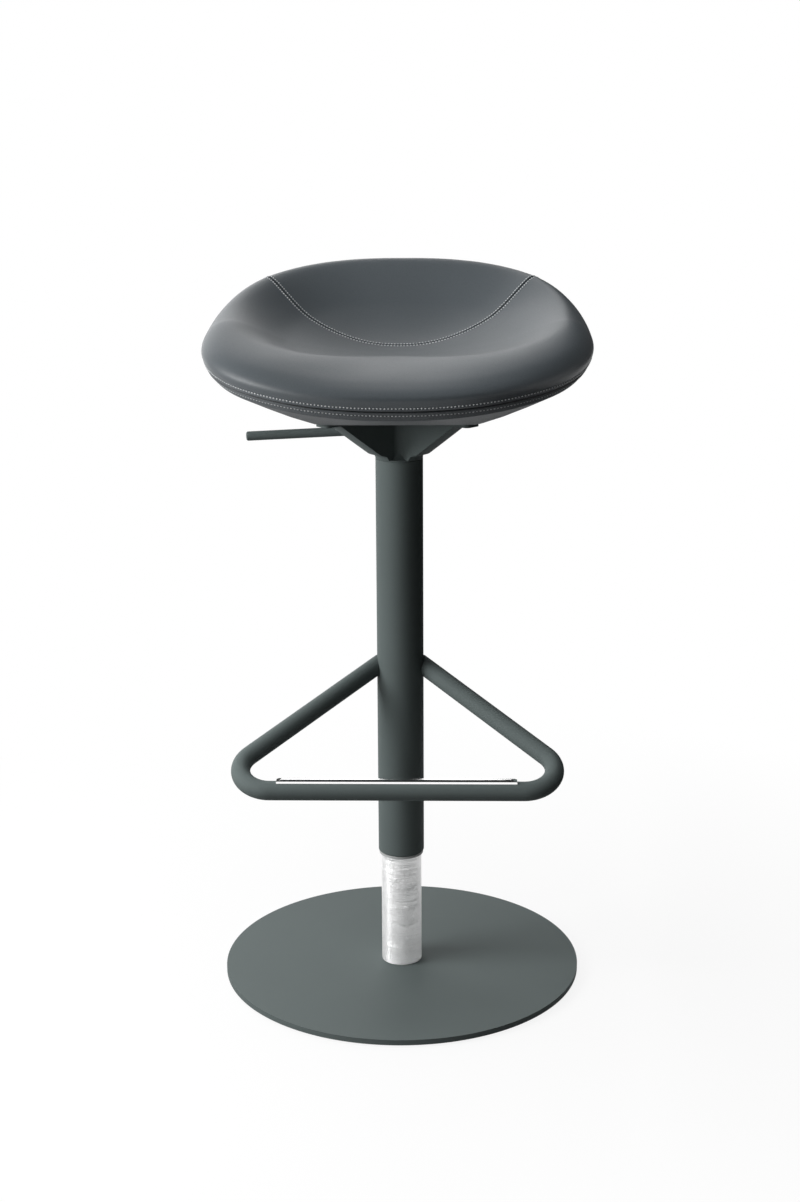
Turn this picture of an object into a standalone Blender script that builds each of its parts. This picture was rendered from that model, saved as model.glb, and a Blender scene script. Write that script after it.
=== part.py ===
"""Height-adjustable swivel stool: disc base, telescopic column with a gas spring, footrest loop, dished seat.

Metres, +Z up, origin on the floor under the column. The sitter faces -Y, and the lever points to -X.
"""

import math

import bmesh
import bpy
from mathutils import Matrix, Vector

# Clearances
GAP = 0.0003                 # between pieces that touch
SEAM_GAP = 0.0012            # groove between leather panels
RUNNING = 0.0005             # radial, between pieces that turn past each other

# Base
BASE_DIAMETER = 0.400
BASE_THICKNESS = 0.006
BASE_EDGE = 0.0012
FLOOR_RING_DIAMETER = 0.384
FLOOR_RING_WIDTH = 0.014
FLOOR_RING_THICKNESS = 0.002

# Post
POST_DIAMETER = 0.045
POST_WALL = 0.002
POST_LENGTH = 0.4164
FOOT_HEIGHT = 0.020
FOOT_RECESS_DIAMETER = 0.020
FOOT_RECESS_DEPTH = 0.006
FOOT_SCREW_RADIUS = 0.0145
BASE_SCREW_LENGTH = 0.021

# Screws
SCREW_DIAMETER = 0.006
SCREW_HEAD_DIAMETER = 0.011
SCREW_HEAD_HEIGHT = 0.003
SCREW_SOCKET = 0.004         # across the corners
SCREW_SOCKET_DEPTH = 0.002
SCREW_SIDES = 10

# Thrust bearing of the swivel
RACE_THICKNESS = 0.002
RACE_DIAMETER = 0.024
BALL_DIAMETER = 0.0032
BALL_CIRCLE = 0.0176
BALL_COUNT = 8
BALL_SIDES = 8
CAGE_THICKNESS = 0.0016
CAGE_WIDTH = 0.006

# Gas spring
ROD_DIAMETER = 0.010
ROD_TAIL_DIAMETER = 0.008
ROD_LENGTH = 0.308           # between its two shoulders
ROD_TIP_LENGTH = 0.015
PISTON_HEIGHT = 0.012
CLIP_DIAMETER = 0.016
CLIP_THICKNESS = 0.0012
BUMP_DIAMETER = 0.020
BUMP_HEIGHT = 0.034
CYLINDER_DIAMETER = 0.028
CYLINDER_WALL = 0.002
CYLINDER_LENGTH = 0.4216
CYLINDER_HEAD = 0.0236
TAPER_LENGTH = 0.0386
TAPER_DIAMETER = 0.026       # at the top
ROD_GUIDE_HEIGHT = 0.020
ROD_GUIDE_INSET = 0.0025
RELEASE_PIN_DIAMETER = 0.008
RELEASE_PIN_LENGTH = 0.0256
RELEASE_PIN_RISE = 0.004     # above the cylinder

# Bushes
GUIDE_BUSH_LENGTH = 0.040
GUIDE_FLANGE = 0.006
COLUMN_BUSH_LENGTH = 0.040
COLUMN_BUSH_FLANGE = 0.003
COLUMN_BUSH_FLANGE_DIAMETER = 0.0492

# Column
COLUMN_DIAMETER = 0.051
COLUMN_WALL = 0.0015
COLUMN_LENGTH = 0.4493
COLUMN_BOTTOM = 0.142        # above the floor, at rest
COLUMN_EDGE = 0.0008
COLLAR_HEIGHT = 0.031

# Footrest
FOOTREST_TUBE = 0.020
FOOTREST_REACH = 0.185       # column axis to front bar
FOOTREST_SPAN = 0.402        # between the corners of the unbent triangle
FOOTREST_BEND = 0.032
FOOTREST_ROOT = 0.2166       # arm on the column, above the column's lower end
FOOTREST_DROP = 0.0763       # root to front bar
FOOTREST_OVERRUN = 0.006     # arm's end, past the column's side
FOOTREST_BEND_STEPS = 7
STRIP_LENGTH = 0.246
STRIP_WIDTH = 0.009
STRIP_RISE = 0.0034          # above the bar
STRIP_RAMP = 0.006
STRIP_END = 0.0012           # above the bar, where the ramps start
STRIP_ROUND = 0.0005

# Bracket under the seat
BRACKET_HEIGHT = 0.0514
BRACKET_FOOT_HEIGHT = 0.010
BRACKET_FOOT_DIAMETER = 0.035  # at its top
BRACKET_FOOT_LAND = 0.001
BRACKET_NECK_HEIGHT = 0.0055
BRACKET_NECK_DIAMETER = 0.058
ARM_WIDTH = 0.020
ARM_REACH = 0.111
ARM_FILLET = 0.008
ARM_END_RADIUS = 0.005
HEEL_RADIUS = 0.039
HEEL_HEIGHT = 0.0075         # above the bracket's lower end
HEEL_ROUND = 0.004
EAR_ROOT = 0.093
EAR_THICKNESS = 0.004
EAR_SCREW_RADIUS = 0.101
BRACKET_CAVITY_DIAMETER = 0.030
CYLINDER_STANDS = 0.022      # cylinder's top above the bracket's lower end

# Lever
LEVER_DIAMETER = 0.010
LEVER_REACH = 0.163
LEVER_TIP = 0.007            # past the column axis
LEVER_PIVOT = 0.022          # column axis to pivot
LEVER_SLOPE = 0.05
LEVER_SLOT_WIDTH = 0.0115
LEVER_SLOT_HEIGHT = 0.0185
LEVER_ROUND = 0.002
LEVER_PIN_DIAMETER = 0.004
LEVER_PIN_FRONT = 0.0157
LEVER_PIN_REAR = 0.029

# Seat, heights above its underside, given at five places round it
LEATHER = 0.0015
SHELL_THICKNESS = 0.008
INSERT_DIAMETER = 0.010
INSERT_FLANGE_DIAMETER = 0.016
INSERT_FLANGE = 0.0015
INSERT_SIDES = 12
SEAT_HALF_WIDTH = 0.2015
SEAT_FRONT = 0.198
SEAT_REAR = 0.188
SEAT_WIDEST = 0.040          # how far the widest place lies in front of the axis
SEAT_REAR_FULLNESS = 2.5     # exponent of the plan's rear ellipse
SEAT_FRONT_FULLNESS = 2.4
SEAT_DISH = 0.059            # middle of the dish
#                  rear    quarter side    quarter front
SEAT_RIM = (0.1110, 0.1020, 0.0775, 0.0575, 0.0460)
SEAT_CREST_RISE = (0.0300, 0.0270, 0.0220, 0.0200, 0.0230)
SEAT_CREST_INSET = (0.0150, 0.0170, 0.0270, 0.0620, 0.1100)
SEAT_SHOULDER_INSET = (0.0040, 0.0060, 0.0090, 0.0130, 0.0200)
SEAT_SHOULDER_DROP = (0.0090, 0.0080, 0.0066, 0.0072, 0.0120)
SEAT_SEAM_DROP = (0.0220, 0.0160, 0.0113, 0.0135, 0.0140)
SEAT_LIP_DROP = (0.0060, 0.0070, 0.0070, 0.0080, 0.0093)
SEAT_SEAM_INSET = 0.0035
SEAT_LIP_INSET = 0.0095
SEAT_FLAT = 0.090            # half side of the flat square under the seat
SEAT_FLAT_SQUARENESS = 10
U_SEAM_SETBACK = 0.038       # behind the axis, at the middle
U_SEAM_BEND = 3.55           # setback gained per metre squared of width
U_SEAM_STEPS = 9             # stretches each side of the middle
SEAT_DISH_SHARES = (0, 0.3, 0.65, 1)     # rings of the dish, of the way from its middle to the crest
SEAT_SLOPE_SHARES = (0.66, 0.33)         # rings of the underside, of the way from its flat to the lip
SEAT_SLOPE_BOW = 1.1
SEAT_SECTIONS = 36
SEAT_STEPS = 2               # rings per stretch of the upper outline

# Places that follow from the sizes above
base_low = FLOOR_RING_THICKNESS + GAP
base_top = base_low + BASE_THICKNESS
post_low = base_top + GAP
post_top = post_low + POST_LENGTH
post_bore = POST_DIAMETER / 2 - POST_WALL
race_low = post_low + FOOT_HEIGHT + GAP
ball_height = race_low + RACE_THICKNESS + GAP + BALL_DIAMETER / 2
race_high = ball_height + BALL_DIAMETER / 2 + GAP
rod_shoulder = race_high + RACE_THICKNESS + GAP
rod_end = rod_shoulder + ROD_LENGTH
column_bore = COLUMN_DIAMETER / 2 - COLUMN_WALL
column_top = COLUMN_BOTTOM + COLUMN_LENGTH
bracket_low = column_top + GAP
bracket_top = bracket_low + BRACKET_HEIGHT
cylinder_top = bracket_low + CYLINDER_STANDS
cylinder_low = cylinder_top - CYLINDER_LENGTH
cylinder_bore = CYLINDER_DIAMETER / 2 - CYLINDER_WALL
lever_axis_height = cylinder_top + RELEASE_PIN_RISE + GAP + LEVER_DIAMETER / 2
pivot_height = lever_axis_height - LEVER_SLOPE * LEVER_PIVOT
footrest_root = COLUMN_BOTTOM + FOOTREST_ROOT
footrest_bar = footrest_root - FOOTREST_DROP
seat_low = bracket_top + GAP
shell_low = seat_low + LEATHER + GAP
shell_top = shell_low + SHELL_THICKNESS

for old in list(bpy.data.objects):
    bpy.data.objects.remove(old, do_unlink=True)


def new_collection(name):
    made = bpy.data.collections.new(name)
    bpy.context.scene.collection.children.link(made)
    return made


parts = new_collection("swivel_stool")
helpers = new_collection("cutters")


def finish(name, colour, roughness, metallic=0.0):
    """A Principled material."""
    material = bpy.data.materials.new(name)
    material.use_nodes = True
    shader = material.node_tree.nodes["Principled BSDF"]
    shader.inputs["Base Color"].default_value = (*colour, 1.0)
    shader.inputs["Roughness"].default_value = roughness
    shader.inputs["Metallic"].default_value = metallic
    return material


paint = finish("grey_paint", (0.100, 0.122, 0.120), 0.55)
bright_steel = finish("bright_steel", (0.72, 0.72, 0.72), 0.25, 1.0)
plain_steel = finish("plain_steel", (0.45, 0.45, 0.46), 0.4, 1.0)
leather = finish("leather", (0.070, 0.078, 0.086), 0.5)
foam = finish("foam", (0.75, 0.70, 0.55), 0.9)
plywood = finish("plywood", (0.62, 0.45, 0.28), 0.6)
grey_plastic = finish("grey_plastic", (0.45, 0.46, 0.46), 0.5)
black_plastic = finish("black_plastic", (0.03, 0.03, 0.03), 0.5)
rubber = finish("rubber", (0.03, 0.03, 0.03), 0.8)


def empty(name, place, parent=None):
    """An empty on a joint's axis, which carries the pieces of one moving body."""
    made = bpy.data.objects.new(name, None)
    parts.objects.link(made)
    made.location = Vector(place) - (parent.matrix_world.translation if parent else Vector())
    made.parent = parent
    bpy.context.view_layer.update()
    return made


base_body = empty("base", (0, 0, 0))
rod_body = empty("swivel_axis", (0, 0, 0), base_body)
column_body = empty("lift_axis", (0, 0, 0), rod_body)
lever_body = empty("lever_axis", (-LEVER_PIVOT, 0, pivot_height), column_body)
pin_body = empty("release_pin_axis", (0, 0, cylinder_top), column_body)


def add(name, mesh, body, material, place=(0, 0, 0)):
    """One sub-part: an object of the stool, or a cutter where it has no body. Its place is in world space."""
    made = bpy.data.objects.new(name, mesh)
    if body:
        parts.objects.link(made)
        made.parent = body
        made.location = Vector(place) - body.matrix_world.translation
        mesh.materials.append(material)
        mesh.shade_smooth()
        mesh.set_sharp_from_angle(angle=math.radians(30))
    else:
        helpers.objects.link(made)
        made.location = place
        made.hide_render = True
        made.display_type = "WIRE"
    return made


def turned(name, profile, body=None, material=None, place=(0, 0, 0), steps=24):
    """A profile of (radius, height) points, down the outer side, turned about Z. It closes on itself, or on
    the axis where both ends lie there."""
    shape = bmesh.new()
    points = [shape.verts.new((radius, 0, height)) for radius, height in profile]
    for first, second in zip(points, points[1:]):
        shape.edges.new((first, second))
    if profile[0][0] > 0:
        shape.edges.new((points[-1], points[0]))
    mesh = bpy.data.meshes.new(name)
    shape.to_mesh(mesh)
    shape.free()
    made = add(name, mesh, body, material, place)
    spin = made.modifiers.new("turn", "SCREW")
    spin.steps = spin.render_steps = steps
    spin.use_merge_vertices = True
    spin.merge_threshold = 0.00001
    spin.use_smooth_shade = True
    return made


def ring(name, outer, inner, height, body=None, material=None, place=(0, 0, 0), steps=24):
    """A plain ring or, with no inner radius, a plain disc."""
    if inner:
        profile = [(outer, height), (outer, 0), (inner, 0), (inner, height)]
    else:
        profile = [(0, height), (outer, height), (outer, 0), (0, 0)]
    return turned(name, profile, body, material, place, steps)


def mesh_of(name, shape):
    """A mesh from a bmesh, with its faces pointing out."""
    bmesh.ops.recalc_face_normals(shape, faces=shape.faces)
    mesh = bpy.data.meshes.new(name)
    shape.to_mesh(mesh)
    shape.free()
    return mesh


def prism(name, outline, low, high):
    """A mesh of a flat outline of (x, y) points, from one height to another."""
    shape = bmesh.new()
    floor = shape.faces.new([shape.verts.new((x, y, low)) for x, y in outline])
    raised = bmesh.ops.extrude_face_region(shape, geom=[floor])["geom"]
    corners = [item for item in raised if isinstance(item, bmesh.types.BMVert)]
    bmesh.ops.translate(shape, verts=corners, vec=(0, 0, high - low))
    return mesh_of(name, shape)


def rod_mesh(name, radius, start, end, sides=16):
    """A mesh of a round bar between two points."""
    run = Vector(end) - Vector(start)
    turn = run.to_track_quat("Z", "Y").to_matrix().to_4x4()
    shape = bmesh.new()
    middle = Matrix.Translation((Vector(start) + Vector(end)) / 2) @ turn
    bmesh.ops.create_cone(
        shape, cap_ends=True, segments=sides, radius1=radius, radius2=radius, depth=run.length, matrix=middle
    )
    return mesh_of(name, shape)


def boolean(target, other, operation="DIFFERENCE", solver="EXACT"):
    """A live Boolean of one object with a cutter. MANIFOLD holds where many cuts meet one mesh."""
    change = target.modifiers.new(other.name, "BOOLEAN")
    change.operation = operation
    change.solver = solver
    change.object = other


def arc(centre, radius, start, end, count):
    """Points of an arc, in degrees."""
    angles = [math.radians(start + (end - start) * step / count) for step in range(count + 1)]
    return [(centre[0] + radius * math.cos(a), centre[1] + radius * math.sin(a)) for a in angles]


# Base
half = BASE_DIAMETER / 2
base_plate = turned(
    "base_plate",
    [
        (0, BASE_THICKNESS),
        (half - BASE_EDGE, BASE_THICKNESS),
        (half, BASE_THICKNESS - BASE_EDGE),
        (half, BASE_EDGE),
        (half - BASE_EDGE, 0),
        (0, 0),
    ],
    base_body,
    paint,
    (0, 0, base_low),
    56,
)
ring(
    "floor_ring",
    FLOOR_RING_DIAMETER / 2,
    FLOOR_RING_DIAMETER / 2 - FLOOR_RING_WIDTH,
    FLOOR_RING_THICKNESS,
    base_body,
    black_plastic,
    steps=48,
)

# Post and its foot
ring("post", POST_DIAMETER / 2, post_bore, POST_LENGTH, base_body, bright_steel, (0, 0, post_low), 36)
rod_tail = ROD_TAIL_DIAMETER / 2
foot_outer = post_bore - GAP
recess = FOOT_RECESS_DIAMETER / 2
post_foot = turned(
    "post_foot",
    [
        (foot_outer, FOOT_HEIGHT),
        (foot_outer, 0),
        (recess, 0),
        (recess, FOOT_RECESS_DEPTH),
        (rod_tail + RUNNING, FOOT_RECESS_DEPTH),
        (rod_tail + RUNNING, FOOT_HEIGHT),
    ],
    base_body,
    plain_steel,
    (0, 0, post_low),
)


def screw_profile(length, clearance=0.0):
    """A countersunk screw that stands on its head, or the hole that it fits."""
    head = SCREW_HEAD_DIAMETER / 2 + clearance
    shank = SCREW_DIAMETER / 2 + clearance
    top = length + clearance
    profile = [(0, top), (shank, top), (shank, SCREW_HEAD_HEIGHT), (head, 0)]
    if clearance:
        profile.append((head, -SCREW_HEAD_HEIGHT))
    return profile + [(0, profile[-1][1])]


def screw(name, length, place, body, targets, solver="EXACT"):
    """A countersunk screw with a hexagon socket, and its hole through what it fastens."""
    made = turned(name, screw_profile(length), body, plain_steel, place, SCREW_SIDES)
    key = ring(name + "_socket", SCREW_SOCKET / 2, 0, 2 * SCREW_SOCKET_DEPTH, steps=6)
    key.location = Vector(place) - Vector((0, 0, SCREW_SOCKET_DEPTH))
    boolean(made, key)
    hole = turned(name + "_hole", screw_profile(length, GAP), place=place, steps=SCREW_SIDES)
    for target in targets:
        boolean(target, hole, solver=solver)


for number in range(4):
    angle = math.radians(45 + 90 * number)
    place = (FOOT_SCREW_RADIUS * math.cos(angle), FOOT_SCREW_RADIUS * math.sin(angle), base_low + GAP)
    screw(f"base_screw_{number + 1}", BASE_SCREW_LENGTH, place, base_body, [base_plate, post_foot])

# Thrust bearing
race = RACE_DIAMETER / 2
tail_fit = rod_tail + GAP
ring("thrust_race_lower", race, rod_tail + RUNNING, RACE_THICKNESS, base_body, plain_steel, (0, 0, race_low))
ring("thrust_race_upper", race, tail_fit, RACE_THICKNESS, rod_body, plain_steel, (0, 0, race_high))
cage = ring(
    "thrust_ball_cage",
    (BALL_CIRCLE + CAGE_WIDTH) / 2,
    (BALL_CIRCLE - CAGE_WIDTH) / 2,
    CAGE_THICKNESS,
    base_body,
    plain_steel,
    (0, 0, ball_height - CAGE_THICKNESS / 2),
)
for number in range(BALL_COUNT):
    angle = 2 * math.pi * (number + 0.5) / BALL_COUNT
    shape = bmesh.new()
    sides = BALL_SIDES
    bmesh.ops.create_uvsphere(shape, u_segments=sides, v_segments=sides // 2, radius=BALL_DIAMETER / 2)
    place = (BALL_CIRCLE / 2 * math.cos(angle), BALL_CIRCLE / 2 * math.sin(angle), ball_height)
    ball = add(f"ball_{number + 1}", mesh_of("ball", shape), None, None, place)
    boolean(cage, ball, "UNION")

# Rod of the gas spring
rod = ROD_DIAMETER / 2
clip_low = post_low + FOOT_RECESS_DEPTH / 2
tail_low = clip_low - CLIP_THICKNESS
turned(
    "piston_rod",
    [
        (0, rod_end + ROD_TIP_LENGTH),
        (rod_tail, rod_end + ROD_TIP_LENGTH),
        (rod_tail, rod_end),
        (rod, rod_end),
        (rod, rod_shoulder),
        (rod_tail, rod_shoulder),
        (rod_tail, tail_low),
        (0, tail_low),
    ],
    rod_body,
    bright_steel,
    steps=16,
)
ring("rod_clip", CLIP_DIAMETER / 2, tail_fit, CLIP_THICKNESS, rod_body, plain_steel, (0, 0, clip_low), 16)
piston_low = rod_end + GAP
ring("piston", cylinder_bore - GAP, tail_fit, PISTON_HEIGHT, rod_body, black_plastic, (0, 0, piston_low), 16)
ring("bump_stop", BUMP_DIAMETER / 2, rod + GAP, BUMP_HEIGHT, rod_body, rubber, (0, 0, rod_shoulder + GAP), 16)

# Bush in the post's top, which the cylinder and the column both slide on
guide_bore = CYLINDER_DIAMETER / 2 + GAP
turned(
    "guide_bush",
    [
        (column_bore - GAP, GUIDE_FLANGE),
        (column_bore - GAP, 0),
        (post_bore - GAP, 0),
        (post_bore - GAP, -GUIDE_BUSH_LENGTH),
        (guide_bore, -GUIDE_BUSH_LENGTH),
        (guide_bore, GUIDE_FLANGE),
    ],
    base_body,
    black_plastic,
    (0, 0, post_top + GAP),
)

# Gas cylinder with its taper, rod guide and release pin
cylinder = CYLINDER_DIAMETER / 2
taper = TAPER_DIAMETER / 2
valve = RELEASE_PIN_DIAMETER / 2
turned(
    "gas_cylinder",
    [
        (taper, CYLINDER_LENGTH),
        (cylinder, CYLINDER_LENGTH - TAPER_LENGTH),
        (cylinder, 0),
        (cylinder_bore, 0),
        (cylinder_bore, CYLINDER_LENGTH - CYLINDER_HEAD),
        (valve + GAP, CYLINDER_LENGTH - CYLINDER_HEAD),
        (valve + GAP, CYLINDER_LENGTH),
    ],
    column_body,
    plain_steel,
    (0, 0, cylinder_low),
)
ring(
    "rod_guide",
    cylinder_bore - GAP,
    rod + GAP,
    ROD_GUIDE_HEIGHT,
    column_body,
    black_plastic,
    (0, 0, cylinder_low + ROD_GUIDE_INSET),
    16,
)
pin_low = cylinder_top + RELEASE_PIN_RISE - RELEASE_PIN_LENGTH
ring("release_pin", valve, 0, RELEASE_PIN_LENGTH, pin_body, plain_steel, (0, 0, pin_low), 16)

# Column, its lower bush and the collar in its top
column = COLUMN_DIAMETER / 2
turned(
    "column_tube",
    [
        (column, COLUMN_LENGTH),
        (column, COLUMN_EDGE),
        (column - COLUMN_EDGE, 0),
        (column_bore, 0),
        (column_bore, COLUMN_LENGTH),
    ],
    column_body,
    paint,
    (0, 0, COLUMN_BOTTOM),
    36,
)
bush_outer = column_bore - GAP
bush_inner = POST_DIAMETER / 2 + GAP
turned(
    "column_bush",
    [
        (bush_outer, COLUMN_BUSH_LENGTH),
        (bush_outer, 0),
        (COLUMN_BUSH_FLANGE_DIAMETER / 2, 0),
        (COLUMN_BUSH_FLANGE_DIAMETER / 2, -COLUMN_BUSH_FLANGE),
        (bush_inner, -COLUMN_BUSH_FLANGE),
        (bush_inner, COLUMN_BUSH_LENGTH),
    ],
    column_body,
    grey_plastic,
    (0, 0, COLUMN_BOTTOM - GAP),
    36,
)
collar_low = column_top - COLLAR_HEIGHT
ring("column_collar", bush_outer, guide_bore, COLLAR_HEIGHT, column_body, plain_steel, (0, 0, collar_low))

# Footrest: the path runs up one arm, round the two bends and up the other arm
tube = FOOTREST_TUBE / 2
corner = Vector((FOOTREST_SPAN / 2, -FOOTREST_REACH, footrest_bar))
root = Vector((column, 0, footrest_root))
along_arm = (root - corner).normalized()
along_bar = Vector((-1, 0, 0))
opening = along_arm.angle(along_bar) / 2
bend_centre = corner + (along_arm + along_bar).normalized() * (FOOTREST_BEND / math.sin(opening))
bend_start = corner + along_arm * (FOOTREST_BEND / math.tan(opening))
bend_axis = along_bar.cross(along_arm).normalized()
right_half = [root + along_arm * FOOTREST_OVERRUN]
for step in range(FOOTREST_BEND_STEPS + 1):
    turn = Matrix.Rotation((math.pi - 2 * opening) * step / FOOTREST_BEND_STEPS, 3, bend_axis)
    right_half.append(bend_centre + turn @ (bend_start - bend_centre))
left_half = [Vector((-point.x, point.y, point.z)) for point in reversed(right_half)]
path = right_half + left_half


def swept_tube(name, points, radius):
    """A mesh of a round tube with closed ends along points, from a bevelled curve."""
    curve = bpy.data.curves.new(name, "CURVE")
    curve.dimensions = "3D"
    curve.bevel_depth = radius
    curve.bevel_resolution = 4
    curve.use_fill_caps = True
    spline = curve.splines.new("POLY")
    spline.points.add(len(points) - 1)
    for slot, point in zip(spline.points, points):
        slot.co = (*point, 1)
    guide = bpy.data.objects.new(name + "_path", curve)
    helpers.objects.link(guide)
    bpy.context.view_layer.update()
    mesh = bpy.data.meshes.new_from_object(guide.evaluated_get(bpy.context.evaluated_depsgraph_get()))
    bpy.data.objects.remove(guide, do_unlink=True)
    shape = bmesh.new()
    shape.from_mesh(mesh)
    bmesh.ops.remove_doubles(shape, verts=shape.verts, dist=0.00001)
    bpy.data.meshes.remove(mesh)
    return mesh_of(name, shape)


footrest = add("footrest_loop", swept_tube("footrest_loop", path, tube), column_body, paint)
room = ring("column_room", column + GAP, 0, COLUMN_LENGTH, place=(0, 0, COLUMN_BOTTOM), steps=36)
boolean(footrest, room)

# Wear strip, bedded on the front bar
strip_half = STRIP_LENGTH / 2
strip_side = [
    (-strip_half, 0),
    (strip_half, 0),
    (strip_half, tube + STRIP_END),
    (strip_half - STRIP_RAMP, tube + STRIP_RISE),
    (STRIP_RAMP - strip_half, tube + STRIP_RISE),
    (-strip_half, tube + STRIP_END),
]
strip_mesh = prism("footrest_strip", strip_side, -STRIP_WIDTH / 2, STRIP_WIDTH / 2)
strip_mesh.transform(Matrix.Rotation(math.radians(90), 4, "X"))
bar_centre = Vector((0, -FOOTREST_REACH, footrest_bar))
strip = add("footrest_strip", strip_mesh, column_body, bright_steel, bar_centre)
bar_half = Vector((strip_half + tube, 0, 0))
bed = rod_mesh("strip_bed", tube + GAP, bar_centre - bar_half, bar_centre + bar_half, 24)
boolean(strip, add("strip_bed", bed, None, None))
rounding = strip.modifiers.new("edges", "BEVEL")
rounding.width = STRIP_ROUND
rounding.segments = 1
rounding.angle_limit = math.radians(60)

# Bracket: a star cut to a turned envelope, on a round foot
arm = ARM_WIDTH / 2
fillet_centre = arm + ARM_FILLET
arm_end = ARM_REACH - ARM_END_RADIUS
side = arc((fillet_centre, fillet_centre), ARM_FILLET, 225, 270, 3)
side += arc((arm_end, arm - ARM_END_RADIUS), ARM_END_RADIUS, 90, 0, 3)
half_arm = [Vector(point) for point in side]
one_arm = half_arm + [Vector((point.x, -point.y)) for point in reversed(half_arm)]
star = []
for number in range(4):
    turn = Matrix.Rotation(math.radians(45 - 90 * number), 2)
    star += [turn @ point for point in one_arm[:-1]]
star_mesh = prism("seat_bracket", star, -GAP, BRACKET_HEIGHT + GAP)
bracket = add("seat_bracket", star_mesh, column_body, paint, (0, 0, bracket_low))
slope = math.degrees(math.atan2(BRACKET_HEIGHT - EAR_THICKNESS - HEEL_HEIGHT, EAR_ROOT - HEEL_RADIUS))
heel = arc((HEEL_RADIUS - HEEL_ROUND, HEEL_HEIGHT + HEEL_ROUND), HEEL_ROUND, slope - 90, -90, 3)
envelope = turned(
    "bracket_envelope",
    [
        (0, BRACKET_HEIGHT),
        (ARM_REACH + GAP, BRACKET_HEIGHT),
        (ARM_REACH + GAP, BRACKET_HEIGHT - EAR_THICKNESS),
        (EAR_ROOT, BRACKET_HEIGHT - EAR_THICKNESS),
        *heel,
        (BRACKET_NECK_DIAMETER / 2, BRACKET_NECK_HEIGHT),
        (column, 0),
        (0, 0),
    ],
    place=(0, 0, bracket_low),
    steps=32,
)
boolean(bracket, envelope, "INTERSECT", "MANIFOLD")
foot_profile = [
    (0, BRACKET_FOOT_HEIGHT),
    (BRACKET_FOOT_DIAMETER / 2, BRACKET_FOOT_HEIGHT),
    (column, BRACKET_FOOT_LAND),
    (column, 0),
    (0, 0),
]
bracket_foot = turned("bracket_foot", foot_profile, place=(0, 0, bracket_low), steps=32)
boolean(bracket, bracket_foot, "UNION", "MANIFOLD")
taper_start = cylinder_top - TAPER_LENGTH - bracket_low
cavity = BRACKET_CAVITY_DIAMETER / 2
cavity_cut = turned(
    "bracket_cavity",
    [
        (0, BRACKET_HEIGHT + GAP),
        (cavity, BRACKET_HEIGHT + GAP),
        (cavity, CYLINDER_STANDS + GAP),
        (taper + GAP, CYLINDER_STANDS + GAP),
        (cylinder + GAP, taper_start),
        (0, taper_start),
    ],
    place=(0, 0, bracket_low),
    steps=20,
)
boolean(bracket, cavity_cut, solver="MANIFOLD")
slot_half = LEVER_SLOT_WIDTH / 2
slot_end = -BRACKET_NECK_DIAMETER
slot_outline = [(0, -slot_half), (0, slot_half), (slot_end, slot_half), (slot_end, -slot_half)]
slot_mesh = prism("lever_slot", slot_outline, cylinder_top, cylinder_top + LEVER_SLOT_HEIGHT)
boolean(bracket, add("lever_slot", slot_mesh, None, None), solver="MANIFOLD")

# Lever and its pivot pin
lever_start = Vector((-LEVER_REACH, 0, lever_axis_height - LEVER_SLOPE * LEVER_REACH))
lever_end = Vector((LEVER_TIP, 0, lever_axis_height + LEVER_SLOPE * LEVER_TIP))
pivot = Vector((-LEVER_PIVOT, 0, pivot_height))
lever_mesh = rod_mesh("release_lever", LEVER_DIAMETER / 2, lever_start - pivot, lever_end - pivot, 20)
lever = add("release_lever", lever_mesh, lever_body, paint, pivot)
rounding = lever.modifiers.new("ends", "BEVEL")
rounding.width = LEVER_ROUND
rounding.segments = 2
rounding.angle_limit = math.radians(60)
pin_front = pivot - Vector((0, LEVER_PIN_FRONT, 0))
pin_rear = pivot + Vector((0, LEVER_PIN_REAR, 0))
pin_radius = LEVER_PIN_DIAMETER / 2
add("lever_pin", rod_mesh("lever_pin", pin_radius, pin_front, pin_rear), column_body, plain_steel)
hole_front = pin_front - Vector((0, GAP, 0))
hole_rear = pin_rear + Vector((0, BRACKET_NECK_DIAMETER, 0))
pin_hole_mesh = rod_mesh("lever_pin_hole", pin_radius + GAP, hole_front, hole_rear)
pin_hole = add("lever_pin_hole", pin_hole_mesh, None, None)
boolean(bracket, pin_hole, solver="MANIFOLD")
boolean(lever, pin_hole)


# Seat: each section through the axis is a run of (radius, height) points, and a layer is a depth under it
def around(values, turn):
    """A size at an angle from the rear, on a smooth curve through its five values."""
    place = abs((turn + math.pi) % (2 * math.pi) - math.pi) / (math.pi / 4)
    first = min(int(place), 3)
    part = place - first
    before, low, high, after = (values[4 - abs(4 - abs(first + step))] for step in (-1, 0, 1, 2))
    bend = (high - before) * part + (2 * before - 5 * low + 4 * high - after) * part**2
    return low + (bend + (3 * (low - high) + after - before) * part**3) / 2


def plan(turn):
    """The rim's point in plan at an angle from the rear."""
    across, along = math.sin(turn), math.cos(turn)
    power = 2 / (SEAT_REAR_FULLNESS if along > 0 else SEAT_FRONT_FULLNESS)
    depth = SEAT_REAR + SEAT_WIDEST if along > 0 else SEAT_FRONT - SEAT_WIDEST
    x = math.copysign(SEAT_HALF_WIDTH * abs(across) ** power, across)
    return Vector((x, math.copysign(depth * abs(along) ** power, along) - SEAT_WIDEST))


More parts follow.
